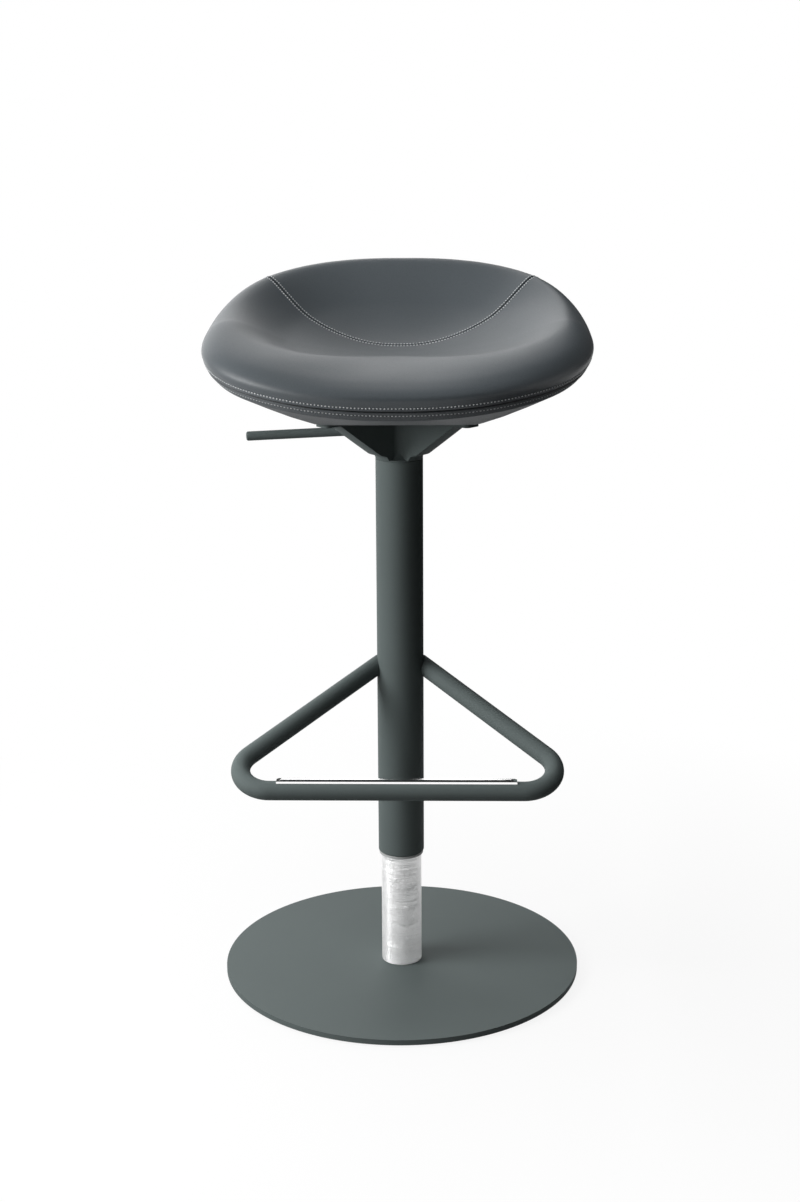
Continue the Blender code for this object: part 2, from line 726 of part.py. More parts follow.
def smooth_run(knots, steps):
    """Points on a smooth curve through knots, as many as steps for each stretch."""
    knots = [Vector(knot) for knot in knots]
    reach = [math.sqrt(max((b - a).length, 1e-6)) for a, b in zip(knots, knots[1:])]
    slopes = [(b - a) / gap for a, b, gap in zip(knots, knots[1:], reach)]
    tangents = [Vector((slopes[0].x, 0))]
    for k in range(1, len(knots) - 1):
        weight = reach[k - 1] / (reach[k - 1] + reach[k])
        tangents.append(slopes[k] * weight + slopes[k - 1] * (1 - weight))
    tangents.append(slopes[-1])
    points = []
    for k, gap in enumerate(reach):
        for step in range(steps):
            t = step / steps
            points.append(
                (2 * t**3 - 3 * t**2 + 1) * knots[k]
                + (t**3 - 2 * t**2 + t) * gap * tangents[k]
                + (3 * t**2 - 2 * t**3) * knots[k + 1]
                + (t**3 - t**2) * gap * tangents[k + 1]
            )
    return points + [knots[-1]]


def top_section(turn):
    """The seat's upper outline, from the middle of the dish over the crest and the rim to the seam."""
    rim = plan(turn).length
    rim_height = around(SEAT_RIM, turn)
    crest = rim - around(SEAT_CREST_INSET, turn)
    crest_height = rim_height + around(SEAT_CREST_RISE, turn)
    shoulder = rim - around(SEAT_SHOULDER_INSET, turn)
    seam_height = rim_height - around(SEAT_SEAM_DROP, turn)
    dish = [(crest * s, SEAT_DISH + (crest_height - SEAT_DISH) * s**2) for s in SEAT_DISH_SHARES]
    edge = [
        (shoulder, crest_height - around(SEAT_SHOULDER_DROP, turn)),
        (rim, rim_height),
        (rim - SEAT_SEAM_INSET, seam_height),
    ]
    return smooth_run(dish + edge, SEAT_STEPS)


def under_section(turn):
    """The seat's lower outline, from under the seam over the lip to the flat square and the middle."""
    direction = plan(turn).normalized()
    rim = plan(turn).length
    seam_height = around(SEAT_RIM, turn) - around(SEAT_SEAM_DROP, turn)
    lip = Vector((rim - SEAT_LIP_INSET, seam_height - around(SEAT_LIP_DROP, turn)))
    start = Vector((rim - SEAT_SEAM_INSET, seam_height))
    start += (lip - start).normalized() * SEAM_GAP
    power = SEAT_FLAT_SQUARENESS
    flat = Vector((SEAT_FLAT / (abs(direction.x) ** power + abs(direction.y) ** power) ** (1 / power), 0))
    rise = lip - flat
    slope = [flat + Vector((rise.x * s, rise.y * s**SEAT_SLOPE_BOW)) for s in SEAT_SLOPE_SHARES]
    return [start, lip, *slope, flat, Vector((flat.x / 2, 0)), Vector((0, 0))]


def layer(points, depth):
    """The same section, moved into the seat by a depth. It runs clockwise, so inwards is to the right."""
    runs = [(after - before).normalized() for before, after in zip(points, points[1:])]
    sides = [Vector((run.y, -run.x)) for run in runs]
    moved = []
    for point, before, after in zip(points, sides[:1] + sides, sides + sides[-1:]):
        inwards = (before + after).normalized()
        if point.x == 0:
            inwards = before = Vector((0, math.copysign(1, inwards.y)))
        moved.append(point + inwards * (depth / inwards.dot(before)))
    return moved


turns = [2 * math.pi * (number + 0.5) / SEAT_SECTIONS for number in range(SEAT_SECTIONS)]


def lofted(name, section):
    """A closed mesh through the same section at every angle. The section starts and ends on the axis."""
    shape = bmesh.new()
    columns = []
    for turn in turns:
        direction = plan(turn).normalized()
        inner = section(turn)[1:-1]
        columns.append([shape.verts.new((*(direction * point.x), seat_low + point.y)) for point in inner])
    loops = []
    for row in zip(*columns):
        loops.append([shape.edges.new((a, b)) for a, b in zip(row, row[1:] + row[:1])])
    for first, second in zip(loops, loops[1:]):
        bmesh.ops.bridge_loops(shape, edges=first + second)
    for loop, height in ((loops[0], section(turns[0])[0].y), (loops[-1], section(turns[0])[-1].y)):
        cap = bmesh.ops.contextual_create(shape, geom=loop)["faces"]
        middle = bmesh.ops.poke(shape, faces=cap)["verts"][0]
        middle.co = (0, 0, seat_low + height)
    bmesh.ops.triangulate(shape, faces=shape.faces)
    return mesh_of(name, shape)


leather_inside = LEATHER + GAP
foam_under = leather_inside + SHELL_THICKNESS + GAP


def cover_section(turn):
    outside = top_section(turn)
    return outside + layer(outside, LEATHER)[::-1]


def under_cover_section(turn):
    outside = under_section(turn)
    return layer(outside, LEATHER)[::-1] + outside


def shell_section(turn):
    outside = under_section(turn)
    return layer(outside, leather_inside + SHELL_THICKNESS)[:0:-1] + layer(outside, leather_inside)[1:]


def foam_section(turn):
    upper = layer(top_section(turn), leather_inside)[: -SEAT_STEPS + 1]
    return upper + layer(under_section(turn), foam_under)[1:]


def u_seam_outline(shift):
    """The area behind the U-shaped seam in plan, moved back by a shift."""
    wide = SEAT_HALF_WIDTH + SEAM_GAP
    far = SEAT_REAR + SEAT_HALF_WIDTH
    stations = [wide * step / U_SEAM_STEPS for step in range(-U_SEAM_STEPS, U_SEAM_STEPS + 1)]
    front = [(x, U_SEAM_SETBACK + U_SEAM_BEND * x * x + shift) for x in stations]
    return [point for point in front if point[1] < far] + [(wide, far), (-wide, far)]


seat_ceiling = seat_low + 2 * max(SEAT_RIM)
for name, shift, operation in (
    ("seat_cover_front", -SEAM_GAP / 2, "DIFFERENCE"),
    ("seat_cover_back", SEAM_GAP / 2, "INTERSECT"),
):
    panel = add(name, lofted(name, cover_section), column_body, leather)
    area = add(name + "_area", prism(name, u_seam_outline(shift), seat_low - GAP, seat_ceiling), None, None)
    boolean(panel, area, operation, "MANIFOLD")
under_cover = add("seat_cover_under", lofted("seat_cover_under", under_cover_section), column_body, leather)
shell = add("seat_shell", lofted("seat_shell", shell_section), column_body, plywood)
core = add("seat_foam", lofted("seat_foam", foam_section), column_body, foam)

# Screws and inserts that hold the seat on the bracket's ears
ear_low = bracket_top - EAR_THICKNESS
screw_length = shell_top - ear_low - GAP
barrel = INSERT_DIAMETER / 2
thread = SCREW_DIAMETER / 2 + GAP
flange = INSERT_FLANGE_DIAMETER / 2
insert_floor = shell_low + LEATHER
insert_low = insert_floor - shell_top
insert_profile = [
    (flange, INSERT_FLANGE),
    (flange, 0),
    (barrel, 0),
    (barrel, insert_low),
    (thread, insert_low),
    (thread, INSERT_FLANGE),
]
for number in range(4):
    angle = math.radians(45 + 90 * number)
    x, y = EAR_SCREW_RADIUS * math.cos(angle), EAR_SCREW_RADIUS * math.sin(angle)
    name = f"seat_insert_{number + 1}"
    turned(name, insert_profile, column_body, plain_steel, (x, y, shell_top + GAP), INSERT_SIDES)
    bore = ring(name + "_bore", barrel + GAP, 0, 2 * SHELL_THICKNESS, steps=INSERT_SIDES)
    bore.location = (x, y, insert_floor - GAP)
    boolean(shell, bore, solver="MANIFOLD")
    pocket_floor = shell_top - SHELL_THICKNESS / 2
    pocket_height = shell_top + INSERT_FLANGE + 2 * GAP - pocket_floor
    pocket = ring(name + "_pocket", flange + GAP, 0, pocket_height, steps=INSERT_SIDES)
    pocket.location = (x, y, pocket_floor)
    boolean(core, pocket, solver="MANIFOLD")
    place = (x, y, ear_low + GAP)
    held = [bracket, under_cover, shell]
    screw(f"bracket_screw_{number + 1}", screw_length, place, column_body, held, "MANIFOLD")
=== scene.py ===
"""Height-adjustable swivel stool: its finished pieces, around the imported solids."""

import math

import bmesh
import bpy
import numpy as np
from mathutils import Matrix, Vector
from mathutils.bvhtree import BVHTree
from mathutils.kdtree import KDTree


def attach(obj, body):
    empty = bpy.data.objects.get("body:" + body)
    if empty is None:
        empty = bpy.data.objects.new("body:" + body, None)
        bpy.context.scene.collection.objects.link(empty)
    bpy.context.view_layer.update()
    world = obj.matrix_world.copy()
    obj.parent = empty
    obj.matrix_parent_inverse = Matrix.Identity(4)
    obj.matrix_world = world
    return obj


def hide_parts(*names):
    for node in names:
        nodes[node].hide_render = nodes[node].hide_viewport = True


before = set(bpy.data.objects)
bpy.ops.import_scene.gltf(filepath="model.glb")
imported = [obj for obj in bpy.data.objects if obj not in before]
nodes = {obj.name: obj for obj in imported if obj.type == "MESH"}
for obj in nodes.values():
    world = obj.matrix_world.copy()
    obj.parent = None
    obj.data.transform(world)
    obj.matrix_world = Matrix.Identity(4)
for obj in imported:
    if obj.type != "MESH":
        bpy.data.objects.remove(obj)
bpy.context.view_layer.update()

# Base plate: a disc of 6 mm steel, laser cut, its edge rounded off and powder coated in grey.
# Four countersunk screws go up through its middle into the foot of the post.
BASE_RADIUS = 0.200
BASE_LOW = 0.0023
BASE_TOP = 0.0083
BASE_EDGE = 0.0012
BASE_SCREW_CIRCLE = 0.0145
BASE_SCREW_LENGTH = 0.021
SCREW_SHANK = 0.003
SCREW_HEAD = 0.0055
SCREW_HEAD_HEIGHT = 0.003
SCREW_SOCKET = 0.002
HOLE_GAP = 0.0003
EDGE_ANGLE = math.radians(35)
COAT_GREY = (0.112, 0.135, 0.133, 1)


class Socket:
    """An output in a material's node tree. Arithmetic on it adds Math nodes."""

    def __init__(self, tree, output=None):
        self.tree = tree
        self.output = output

    def add(self, kind, settings, inputs, output=0):
        """Adds a node with these settings and sockets, set or linked, and gives one of its outputs."""
        node = self.tree.nodes.new("ShaderNode" + kind)
        for name, value in settings.items():
            setattr(node, name, value)
        for name, value in inputs.items():
            if isinstance(value, Socket):
                self.tree.links.new(value.output, node.inputs[name])
            else:
                node.inputs[name].default_value = value
        return Socket(self.tree, node.outputs[output])

    def maths(self, operation, first, second=0.0):
        """A Math node on one or two values."""
        return self.add("Math", {"operation": operation}, {0: first, 1: second})

    def __add__(self, other):
        return self.maths("ADD", self, other)

    def __sub__(self, other):
        return self.maths("SUBTRACT", self, other)

    def __rsub__(self, other):
        return self.maths("SUBTRACT", other, self)

    def __mul__(self, other):
        return self.maths("MULTIPLY", self, other)

    __radd__ = __add__
    __rmul__ = __mul__


def finish(name, constants):
    """A material whose Principled shader has these constants, and the root of its node tree."""
    material = bpy.data.materials.new(name)
    material.use_nodes = True
    shader = material.node_tree.nodes["Principled BSDF"]
    for socket, value in constants.items():
        shader.inputs[socket].default_value = value
    return material, Socket(material.node_tree)


def feed(material, **sockets):
    """Links what varies over a surface to the shader's own sockets."""
    shader = material.node_tree.nodes["Principled BSDF"]
    for name, source in sockets.items():
        material.node_tree.links.new(source.output, shader.inputs[name.replace("_", " ")])


def noise(root, place, scale, detail=2.0):
    """A noise value from 0 to 1 over a surface, with features of about 1 / scale metres."""
    return root.add("TexNoise", {}, {"Vector": place, "Scale": scale, "Detail": detail})


def toned(root, colour, tone):
    """A colour made lighter or darker by a value near 1."""
    return root.add("Mix", {"data_type": "RGBA", "blend_type": "MULTIPLY"}, {0: 1.0, 6: colour, 7: tone}, 2)


def powder_coat(name, peel_scale, peel_depth):
    """Matt powder coat: a fine orange peel, faint clouds in the tone and pale specks of pigment."""
    material, root = finish(name, {"Specular IOR Level": 0.12})
    place = root.add("TexCoord", {}, {}, "Object")
    peel = noise(root, place, peel_scale)
    cloud = noise(root, place, scale=9.0, detail=4.0)
    speck = noise(root, place, scale=2600.0, detail=1.0)
    tone = 0.80 + 0.16 * peel + 0.14 * cloud + 0.10 * speck
    bump = root.add("Bump", {}, {"Strength": 0.35, "Distance": peel_depth, "Height": peel + 0.4 * speck})
    feed(
        material,
        Base_Color=toned(root, COAT_GREY, tone),
        Roughness=0.62 + 0.10 * peel + 0.06 * cloud,
        Normal=bump,
    )
    return material


def lathe(profile, steps=144):
    """A solid turned about Z from (radius, height) points: a ring, or a bar where they start on the axis."""
    shape = bmesh.new()
    points = [shape.verts.new((radius, 0, height)) for radius, height in profile]
    edges = [shape.edges.new(pair) for pair in zip(points, points[1:])]
    if profile[0][0] > 0:
        edges.append(shape.edges.new((points[-1], points[0])))
    bmesh.ops.spin(
        shape,
        geom=points + edges,
        cent=(0, 0, 0),
        axis=(0, 0, 1),
        dvec=(0, 0, 0),
        angle=2 * math.pi,
        steps=steps,
        use_merge=True,
    )
    bmesh.ops.remove_doubles(shape, verts=shape.verts, dist=1e-6)
    bmesh.ops.recalc_face_normals(shape, faces=shape.faces)
    return shape


def bare_object(name, shape):
    """An object from a bmesh, which it uses up."""
    mesh = bpy.data.meshes.new(name)
    shape.to_mesh(mesh)
    shape.free()
    made = bpy.data.objects.new(name, mesh)
    bpy.context.collection.objects.link(made)
    return made


def cut(shape, *cutters, operation="DIFFERENCE"):
    """A bmesh with cutters taken from it or joined to it, or what is left of it inside them."""
    target = bare_object("blank", shape)
    tools = [bare_object("cutter", cutter) for cutter in cutters]
    for tool in tools:
        change = target.modifiers.new("cut", "BOOLEAN")
        change.operation = operation
        change.solver = "EXACT"
        change.object = tool
    bpy.context.view_layer.update()
    result = bmesh.new()
    result.from_object(target, bpy.context.evaluated_depsgraph_get())
    for used in [target, *tools]:
        bpy.data.objects.remove(used, do_unlink=True)
    return result


def piece(name, shape, material, body, replaced, edge=0.0):
    """A finished piece: smooth, its edges rounded if a width is given, in its solids' place on a body."""
    made = bare_object(name, shape)
    made.data.materials.append(material)
    made.data.shade_smooth()
    made.data.set_sharp_from_angle(angle=EDGE_ANGLE)
    if edge:
        rounding = made.modifiers.new("edges", "BEVEL")
        rounding.width = edge
        rounding.segments = 3
        rounding.limit_method = "ANGLE"
        rounding.angle_limit = EDGE_ANGLE
    weighting = made.modifiers.new("flat faces", "WEIGHTED_NORMAL")
    weighting.keep_sharp = True
    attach(made, body)
    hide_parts(*replaced)


def quarter_places(radius):
    """Four points round the axis, between X and Y."""
    turns = [math.radians(45 + 90 * number) for number in range(4)]
    return [Vector((radius * math.cos(turn), radius * math.sin(turn), 0)) for turn in turns]


def screw_hole(length, place):
    """The countersunk hole for a screw that stands on its head at a place."""
    shank = SCREW_SHANK + HOLE_GAP
    head = SCREW_HEAD + HOLE_GAP
    hole = lathe(
        [
            (0, length + HOLE_GAP),
            (shank, length + HOLE_GAP),
            (shank, SCREW_HEAD_HEIGHT),
            (head, 0),
            (head, -SCREW_HEAD_HEIGHT),
            (0, -SCREW_HEAD_HEIGHT),
        ],
        steps=32,
    )
    bmesh.ops.translate(hole, verts=hole.verts, vec=place)
    return hole


coat = powder_coat("powder_coat", peel_scale=1100.0, peel_depth=0.00012)
half_thickness = (BASE_TOP - BASE_LOW) / 2
disc = lathe(
    [
        (0, BASE_TOP),
        (BASE_RADIUS - BASE_EDGE - half_thickness, BASE_TOP),
        (BASE_RADIUS, BASE_TOP),
        (BASE_RADIUS, BASE_LOW),
        (BASE_RADIUS - BASE_EDGE - half_thickness, BASE_LOW),
        (0, BASE_LOW),
    ],
    steps=224,
)
base_screw_low = Vector((0, 0, BASE_LOW + HOLE_GAP))
base_screw_places = [place + base_screw_low for place in quarter_places(BASE_SCREW_CIRCLE)]
disc = cut(disc, *[screw_hole(BASE_SCREW_LENGTH, place) for place in base_screw_places])
piece("base_disc", disc, coat, "base", ["base_plate"], BASE_EDGE)

# Floor ring: a flat ring of black plastic under the plate, which keeps steel off the floor.
# It is moulded, with a fine matt grain, and stuck to the plate.
RING_OUTER = 0.192
RING_INNER = 0.178
RING_HEIGHT = 0.002
RING_EDGE = 0.0004
PLASTIC_BLACK = (0.022, 0.022, 0.023, 1)


def moulded(name, colour, roughness):
    """Moulded plastic with a fine spark-eroded grain."""
    material, root = finish(name, {"Specular IOR Level": 0.45})
    place = root.add("TexCoord", {}, {}, "Object")
    grain = noise(root, place, scale=1500.0, detail=3.0)
    cloud = noise(root, place, scale=30.0, detail=3.0)
    bump = root.add("Bump", {}, {"Strength": 0.3, "Distance": 0.0001, "Height": grain})
    feed(
        material,
        Base_Color=toned(root, colour, 0.88 + 0.14 * grain + 0.10 * cloud),
        Roughness=roughness - 0.06 + 0.12 * grain,
        Normal=bump,
    )
    return material


black_plastic = moulded("black_plastic", PLASTIC_BLACK, roughness=0.55)
ring = lathe(
    [(RING_OUTER, RING_HEIGHT), (RING_OUTER, 0), (RING_INNER, 0), (RING_INNER, RING_HEIGHT)], steps=192
)
piece("floor_glide", ring, black_plastic, "base", ["floor_ring"], RING_EDGE)

# Screws under the base: zinc plated steel with a countersunk head and a hexagon socket.
# They pull the post's foot down on the plate.
SOCKET_DEPTH = 0.002
SCREW_EDGE = 0.0002
ZINC_GREY = (0.50, 0.51, 0.52, 1)


def plated(name, colour, roughness, mark_scale, mark_depth=0.000012, metallic=1.0):
    """Turned or plated steel: fine tool marks round the axis and a faintly uneven tone."""
    material, root = finish(name, {"Metallic": metallic})
    place = root.add("TexCoord", {}, {}, "Object")
    marks = root.add("Mapping", {}, {"Vector": place, "Scale": (6.0, 6.0, mark_scale)})
    turned = noise(root, marks, scale=1.0, detail=3.0)
    cloud = noise(root, place, scale=60.0, detail=3.0)
    bump = root.add("Bump", {}, {"Distance": mark_depth, "Height": turned})
    feed(
        material,
        Base_Color=toned(root, colour, 0.90 + 0.08 * turned + 0.10 * cloud),
        Roughness=roughness - 0.06 + 0.10 * turned + 0.06 * cloud,
        Normal=bump,
    )
    return material


zinc = plated("zinc_plate", ZINC_GREY, roughness=0.36, mark_scale=3000.0)


def socket_screw(name, node, length, place, body):
    """A countersunk screw that stands on its head at a place."""
    shape = lathe(
        [
            (0, length),
            (SCREW_SHANK, length),
            (SCREW_SHANK, SCREW_HEAD_HEIGHT),
            (SCREW_HEAD, 0),
            (0, 0),
        ],
        steps=40,
    )
    hexagon = lathe(
        [
            (0, SOCKET_DEPTH),
            (SCREW_SOCKET, SOCKET_DEPTH),
            (SCREW_SOCKET, -SOCKET_DEPTH),
            (0, -SOCKET_DEPTH),
        ],
        steps=6,
    )
    shape = cut(shape, hexagon)
    bmesh.ops.translate(shape, verts=shape.verts, vec=place)
    piece(name, shape, zinc, body, [node], SCREW_EDGE)


for number, place in enumerate(base_screw_places, 1):
    socket_screw(f"foot_screw_{number}", f"base_screw_{number}", BASE_SCREW_LENGTH, place, "base")

# Post: a drawn steel tube, polished to a satin, that the column slides on.
# It stands on the plate over its foot, and shows only below the column.
POST_RADIUS = 0.0225
POST_BORE = 0.0205
POST_LOW = 0.0086
POST_TOP = 0.425
POST_EDGE = 0.0004
SATIN_WHITE = (0.90, 0.90, 0.90, 1)

satin_steel = plated(
    "satin_steel", SATIN_WHITE, roughness=0.44, mark_scale=2400.0, mark_depth=0.0009, metallic=0.85
)
post = lathe(
    [(POST_RADIUS, POST_TOP), (POST_RADIUS, POST_LOW), (POST_BORE, POST_LOW), (POST_BORE, POST_TOP)]
)
piece("post_tube", post, satin_steel, "base", ["post"], POST_EDGE)

# Works inside the post, the column and the bracket: foot, thrust bearing, gas spring, bushes and pins.
# They stay as the solids have them, in turned steel, black plastic and rubber.
RUBBER_BLACK = (0.018, 0.018, 0.018, 1)

buffer_rubber = moulded("buffer_rubber", RUBBER_BLACK, roughness=0.80)
hidden_works = {
    "post_foot": zinc,
    "thrust_race_lower": zinc,
    "thrust_ball_cage": zinc,
    "thrust_race_upper": zinc,
    "piston_rod": satin_steel,
    "rod_clip": zinc,
    "piston": black_plastic,
    "bump_stop": buffer_rubber,
    "guide_bush": black_plastic,
    "gas_cylinder": zinc,
    "rod_guide": black_plastic,
    "column_collar": zinc,
    "release_pin": satin_steel,
    "lever_pin": zinc,
}
for name, material in hidden_works.items():
    nodes[name].material_slots[0].material = material

# Column bush: a moulded guide of grey plastic, pressed into the column's lower end.
# Its flange shows as a pale line between the column and the post.
BUSH_OUTER = 0.0237
BUSH_INNER = 0.0228
BUSH_FLANGE = 0.0246
BUSH_LOW = 0.1387
BUSH_SEAT = 0.1417
BUSH_TOP = 0.1817
BUSH_EDGE = 0.0003
PLASTIC_GREY = (0.42, 0.43, 0.43, 1)

grey_plastic = moulded("grey_plastic", PLASTIC_GREY, roughness=0.5)
bush = lathe(
    [
        (BUSH_OUTER, BUSH_TOP),
        (BUSH_OUTER, BUSH_SEAT),
        (BUSH_FLANGE, BUSH_SEAT),
        (BUSH_FLANGE, BUSH_LOW),
        (BUSH_INNER, BUSH_LOW),
        (BUSH_INNER, BUSH_TOP),
    ]
)
piece("guide_ring", bush, grey_plastic, "column", ["column_bush"], BUSH_EDGE)

# Column: a welded steel tube, powder coated like the base, that slides on the post.
# Its lower edge is turned in a little, and the bracket stands on its top.
COLUMN_RADIUS = 0.0255
COLUMN_BORE = 0.024
COLUMN_LOW = 0.142
COLUMN_TOP = 0.5913
COLUMN_TURNED_IN = 0.0008
COLUMN_EDGE = 0.0004

column = lathe(
    [
        (COLUMN_RADIUS, COLUMN_TOP),
        (COLUMN_RADIUS, COLUMN_LOW + COLUMN_TURNED_IN),
        (COLUMN_RADIUS - COLUMN_TURNED_IN, COLUMN_LOW),
        (COLUMN_BORE, COLUMN_LOW),
        (COLUMN_BORE, COLUMN_TOP),
    ]
)
piece("column_sleeve", column, coat, "column", ["column_tube"], COLUMN_EDGE)

# Footrest: one steel tube bent to a triangle, its two ends notched and welded to the column's sides.
# It is coated together with the column.
REST_TUBE = 0.010
REST_REACH = 0.185
REST_SPAN = 0.402
REST_BEND = 0.032
REST_ROOT = 0.3586
REST_BAR = 0.2823
REST_OVERRUN = 0.006
REST_SIDES = 48
REST_BEND_STEPS = 24

corner = Vector((REST_SPAN / 2, -REST_REACH, REST_BAR))
root_point = Vector((COLUMN_RADIUS, 0, REST_ROOT))
along_arm = (corner - root_point).normalized()
along_bar = Vector((-1, 0, 0))
opening = (-along_arm).angle(along_bar)
bend_setback = REST_BEND / math.tan(opening / 2)
bend_start = corner - along_arm * bend_setback
bend_centre = corner + (along_bar - along_arm).normalized() * (REST_BEND / math.sin(opening / 2))
bend_axis = along_arm.cross(along_bar).normalized()
arm_start = root_point - along_arm * REST_OVERRUN

loop = bmesh.new()
facing = along_arm.to_track_quat("Z", "Y").to_matrix().to_4x4()
bmesh.ops.create_circle(
    loop, segments=REST_SIDES, radius=REST_TUBE, matrix=Matrix.Translation(arm_start) @ facing
)
end_edges = loop.edges[:]


def extended(edges, run):
    """The tube's open end, drawn out along a straight run."""
    drawn = bmesh.ops.extrude_edge_only(loop, edges=edges)["geom"]
    corners = [item for item in drawn if isinstance(item, bmesh.types.BMVert)]
    bmesh.ops.translate(loop, verts=corners, vec=run)
    drawn_edges = [item for item in drawn if isinstance(item, bmesh.types.BMEdge)]
    return [edge for edge in drawn_edges if set(edge.verts) <= set(corners)]


def bent(edges, centre, axis):
    """The tube's open end, swept round a bend."""
    corners = list({vert for edge in edges for vert in edge.verts})
    swept = bmesh.ops.spin(
        loop,
        geom=corners + edges,
        cent=centre,
        axis=axis,
        dvec=(0, 0, 0),
        angle=math.pi - opening,
        steps=REST_BEND_STEPS,
    )["geom_last"]
    return [item for item in swept if isinstance(item, bmesh.types.BMEdge)]


front_run = along_bar * (REST_SPAN - 2 * bend_setback)
open_end = extended(end_edges, bend_start - arm_start)
open_end = bent(open_end, bend_centre, bend_axis)
open_end = extended(open_end, front_run)
open_end = bent(open_end, bend_centre * Vector((-1, 1, 1)), bend_axis)
back_arm = (bend_start - arm_start) * Vector((1, -1, -1))
extended(open_end, back_arm)
bmesh.ops.holes_fill(loop, edges=loop.edges, sides=0)
bmesh.ops.recalc_face_normals(loop, faces=loop.faces)
sleeve_room = lathe(
    [
        (0, COLUMN_TOP),
        (COLUMN_RADIUS + HOLE_GAP, COLUMN_TOP),
        (COLUMN_RADIUS + HOLE_GAP, COLUMN_LOW),
        (0, COLUMN_LOW),
    ]
)
loop = cut(loop, sleeve_room)
piece("footrest_tube", loop, coat, "column", ["footrest_loop"])

# Wear strip: a bar of polished steel bedded on the front tube, where shoes rub.
# Its ends are ground to a ramp and its edges broken.
STRIP_HALF = 0.123
STRIP_WIDTH = 0.009
STRIP_TOP = 0.0134
STRIP_END = 0.0112
STRIP_RAMP = 0.006
STRIP_ROUND = 0.0042
POLISHED_WHITE = (0.86, 0.86, 0.86, 1)

polished = plated("polished_steel", POLISHED_WHITE, roughness=0.12, mark_scale=90.0)
strip = bmesh.new()
side = [
    (-STRIP_HALF, 0),
    (STRIP_HALF, 0),
    (STRIP_HALF, STRIP_END),
    (STRIP_HALF - STRIP_RAMP, STRIP_TOP),
    (STRIP_RAMP - STRIP_HALF, STRIP_TOP),
    (-STRIP_HALF, STRIP_END),
]
flank = strip.faces.new([strip.verts.new((x, -STRIP_WIDTH / 2, z)) for x, z in side])
drawn = bmesh.ops.extrude_face_region(strip, geom=[flank])["geom"]
far_corners = [item for item in drawn if isinstance(item, bmesh.types.BMVert)]
bmesh.ops.translate(strip, verts=far_corners, vec=(0, STRIP_WIDTH, 0))
bmesh.ops.recalc_face_normals(strip, faces=strip.faces)
long_edges = [edge for edge in strip.edges if min(vert.co.z for vert in edge.verts) >= STRIP_END]
top_edges = [edge for edge in long_edges if abs(edge.verts[0].co.y - edge.verts[1].co.y) < STRIP_WIDTH / 2]
bmesh.ops.bevel(
    strip, geom=top_edges, offset=STRIP_ROUND, affect="EDGES", segments=6, profile=0.5, material=-1
)
bed = bmesh.new()
bmesh.ops.create_cone(
    bed,
    cap_ends=True,
    segments=64,
    radius1=REST_TUBE + HOLE_GAP,
    radius2=REST_TUBE + HOLE_GAP,
    depth=2 * STRIP_HALF + REST_TUBE,
    matrix=Matrix.Rotation(math.pi / 2, 4, "Y"),
)
strip = cut(strip, bed)
bmesh.ops.translate(strip, verts=strip.verts, vec=(0, -REST_REACH, REST_BAR))
piece("wear_strip", strip, polished, "column", ["footrest_strip"])

# Bracket: a cast star with four arms, pressed on the gas spring's taper and screwed to the seat by its
# ears. It is fettled, then coated. The lever comes out between two arms, through a slot to the cavity
# over the valve.
STAR_LOW = 0.5916
STAR_HEIGHT = 0.0514
STAR_NECK = 0.0055
STAR_FOOT = 0.009
STAR_FOOT_TOP = 0.0175
NECK_RADIUS = 0.029
ARM_HALF = 0.010
ARM_REACH = 0.111
ARM_FILLET = 0.008
ARM_END = 0.005
HEEL_RADIUS = 0.039
HEEL_HEIGHT = 0.0075
HEEL_ROUND = 0.004
EAR_ROOT = 0.093
EAR_THICKNESS = 0.004
EAR_SCREW_CIRCLE = 0.101
EAR_SCREW_LENGTH = 0.0135
CAVITY_RADIUS = 0.015
CYLINDER_STANDS = 0.022
TAPER_TOP = 0.013
TAPER_FOOT = 0.014
TAPER_LENGTH = 0.0386
SLOT_WIDTH = 0.0115
SLOT_HEIGHT = 0.0185


def arc(centre, radius, start, end, count):
    """Points of an arc, in degrees."""
    turns = [math.radians(start + (end - start) * step / count) for step in range(count + 1)]
    across, along = centre
    return [Vector((across + radius * math.cos(turn), along + radius * math.sin(turn))) for turn in turns]


def prism(outline, low, high):
    """A flat outline of points, raised from one height to another."""
    shape = bmesh.new()
    floor = shape.faces.new([shape.verts.new((point[0], point[1], low)) for point in outline])
    raised = bmesh.ops.extrude_face_region(shape, geom=[floor])["geom"]
    corners = [item for item in raised if isinstance(item, bmesh.types.BMVert)]
    bmesh.ops.translate(shape, verts=corners, vec=(0, 0, high - low))
    bmesh.ops.recalc_face_normals(shape, faces=shape.faces)
    return shape


fillet_centre = ARM_HALF + ARM_FILLET
flank = arc((fillet_centre, fillet_centre), ARM_FILLET, 225, 270, count=8)
flank += arc((ARM_REACH - ARM_END, ARM_HALF - ARM_END), ARM_END, 90, 0, count=8)
arm_outline = flank + [Vector((point.x, -point.y)) for point in reversed(flank)]
star_outline = []
for number in range(4):
    quarter = Matrix.Rotation(math.radians(45 - 90 * number), 2)
    star_outline += [quarter @ point for point in arm_outline[:-1]]
star = prism(star_outline, STAR_LOW - HOLE_GAP, STAR_LOW + STAR_HEIGHT + HOLE_GAP)
ear_under = STAR_HEIGHT - EAR_THICKNESS
heel_slope = math.degrees(math.atan2(ear_under - HEEL_HEIGHT, EAR_ROOT - HEEL_RADIUS))
heel = arc((HEEL_RADIUS - HEEL_ROUND, HEEL_HEIGHT + HEEL_ROUND), HEEL_ROUND, heel_slope - 90, -90, count=8)
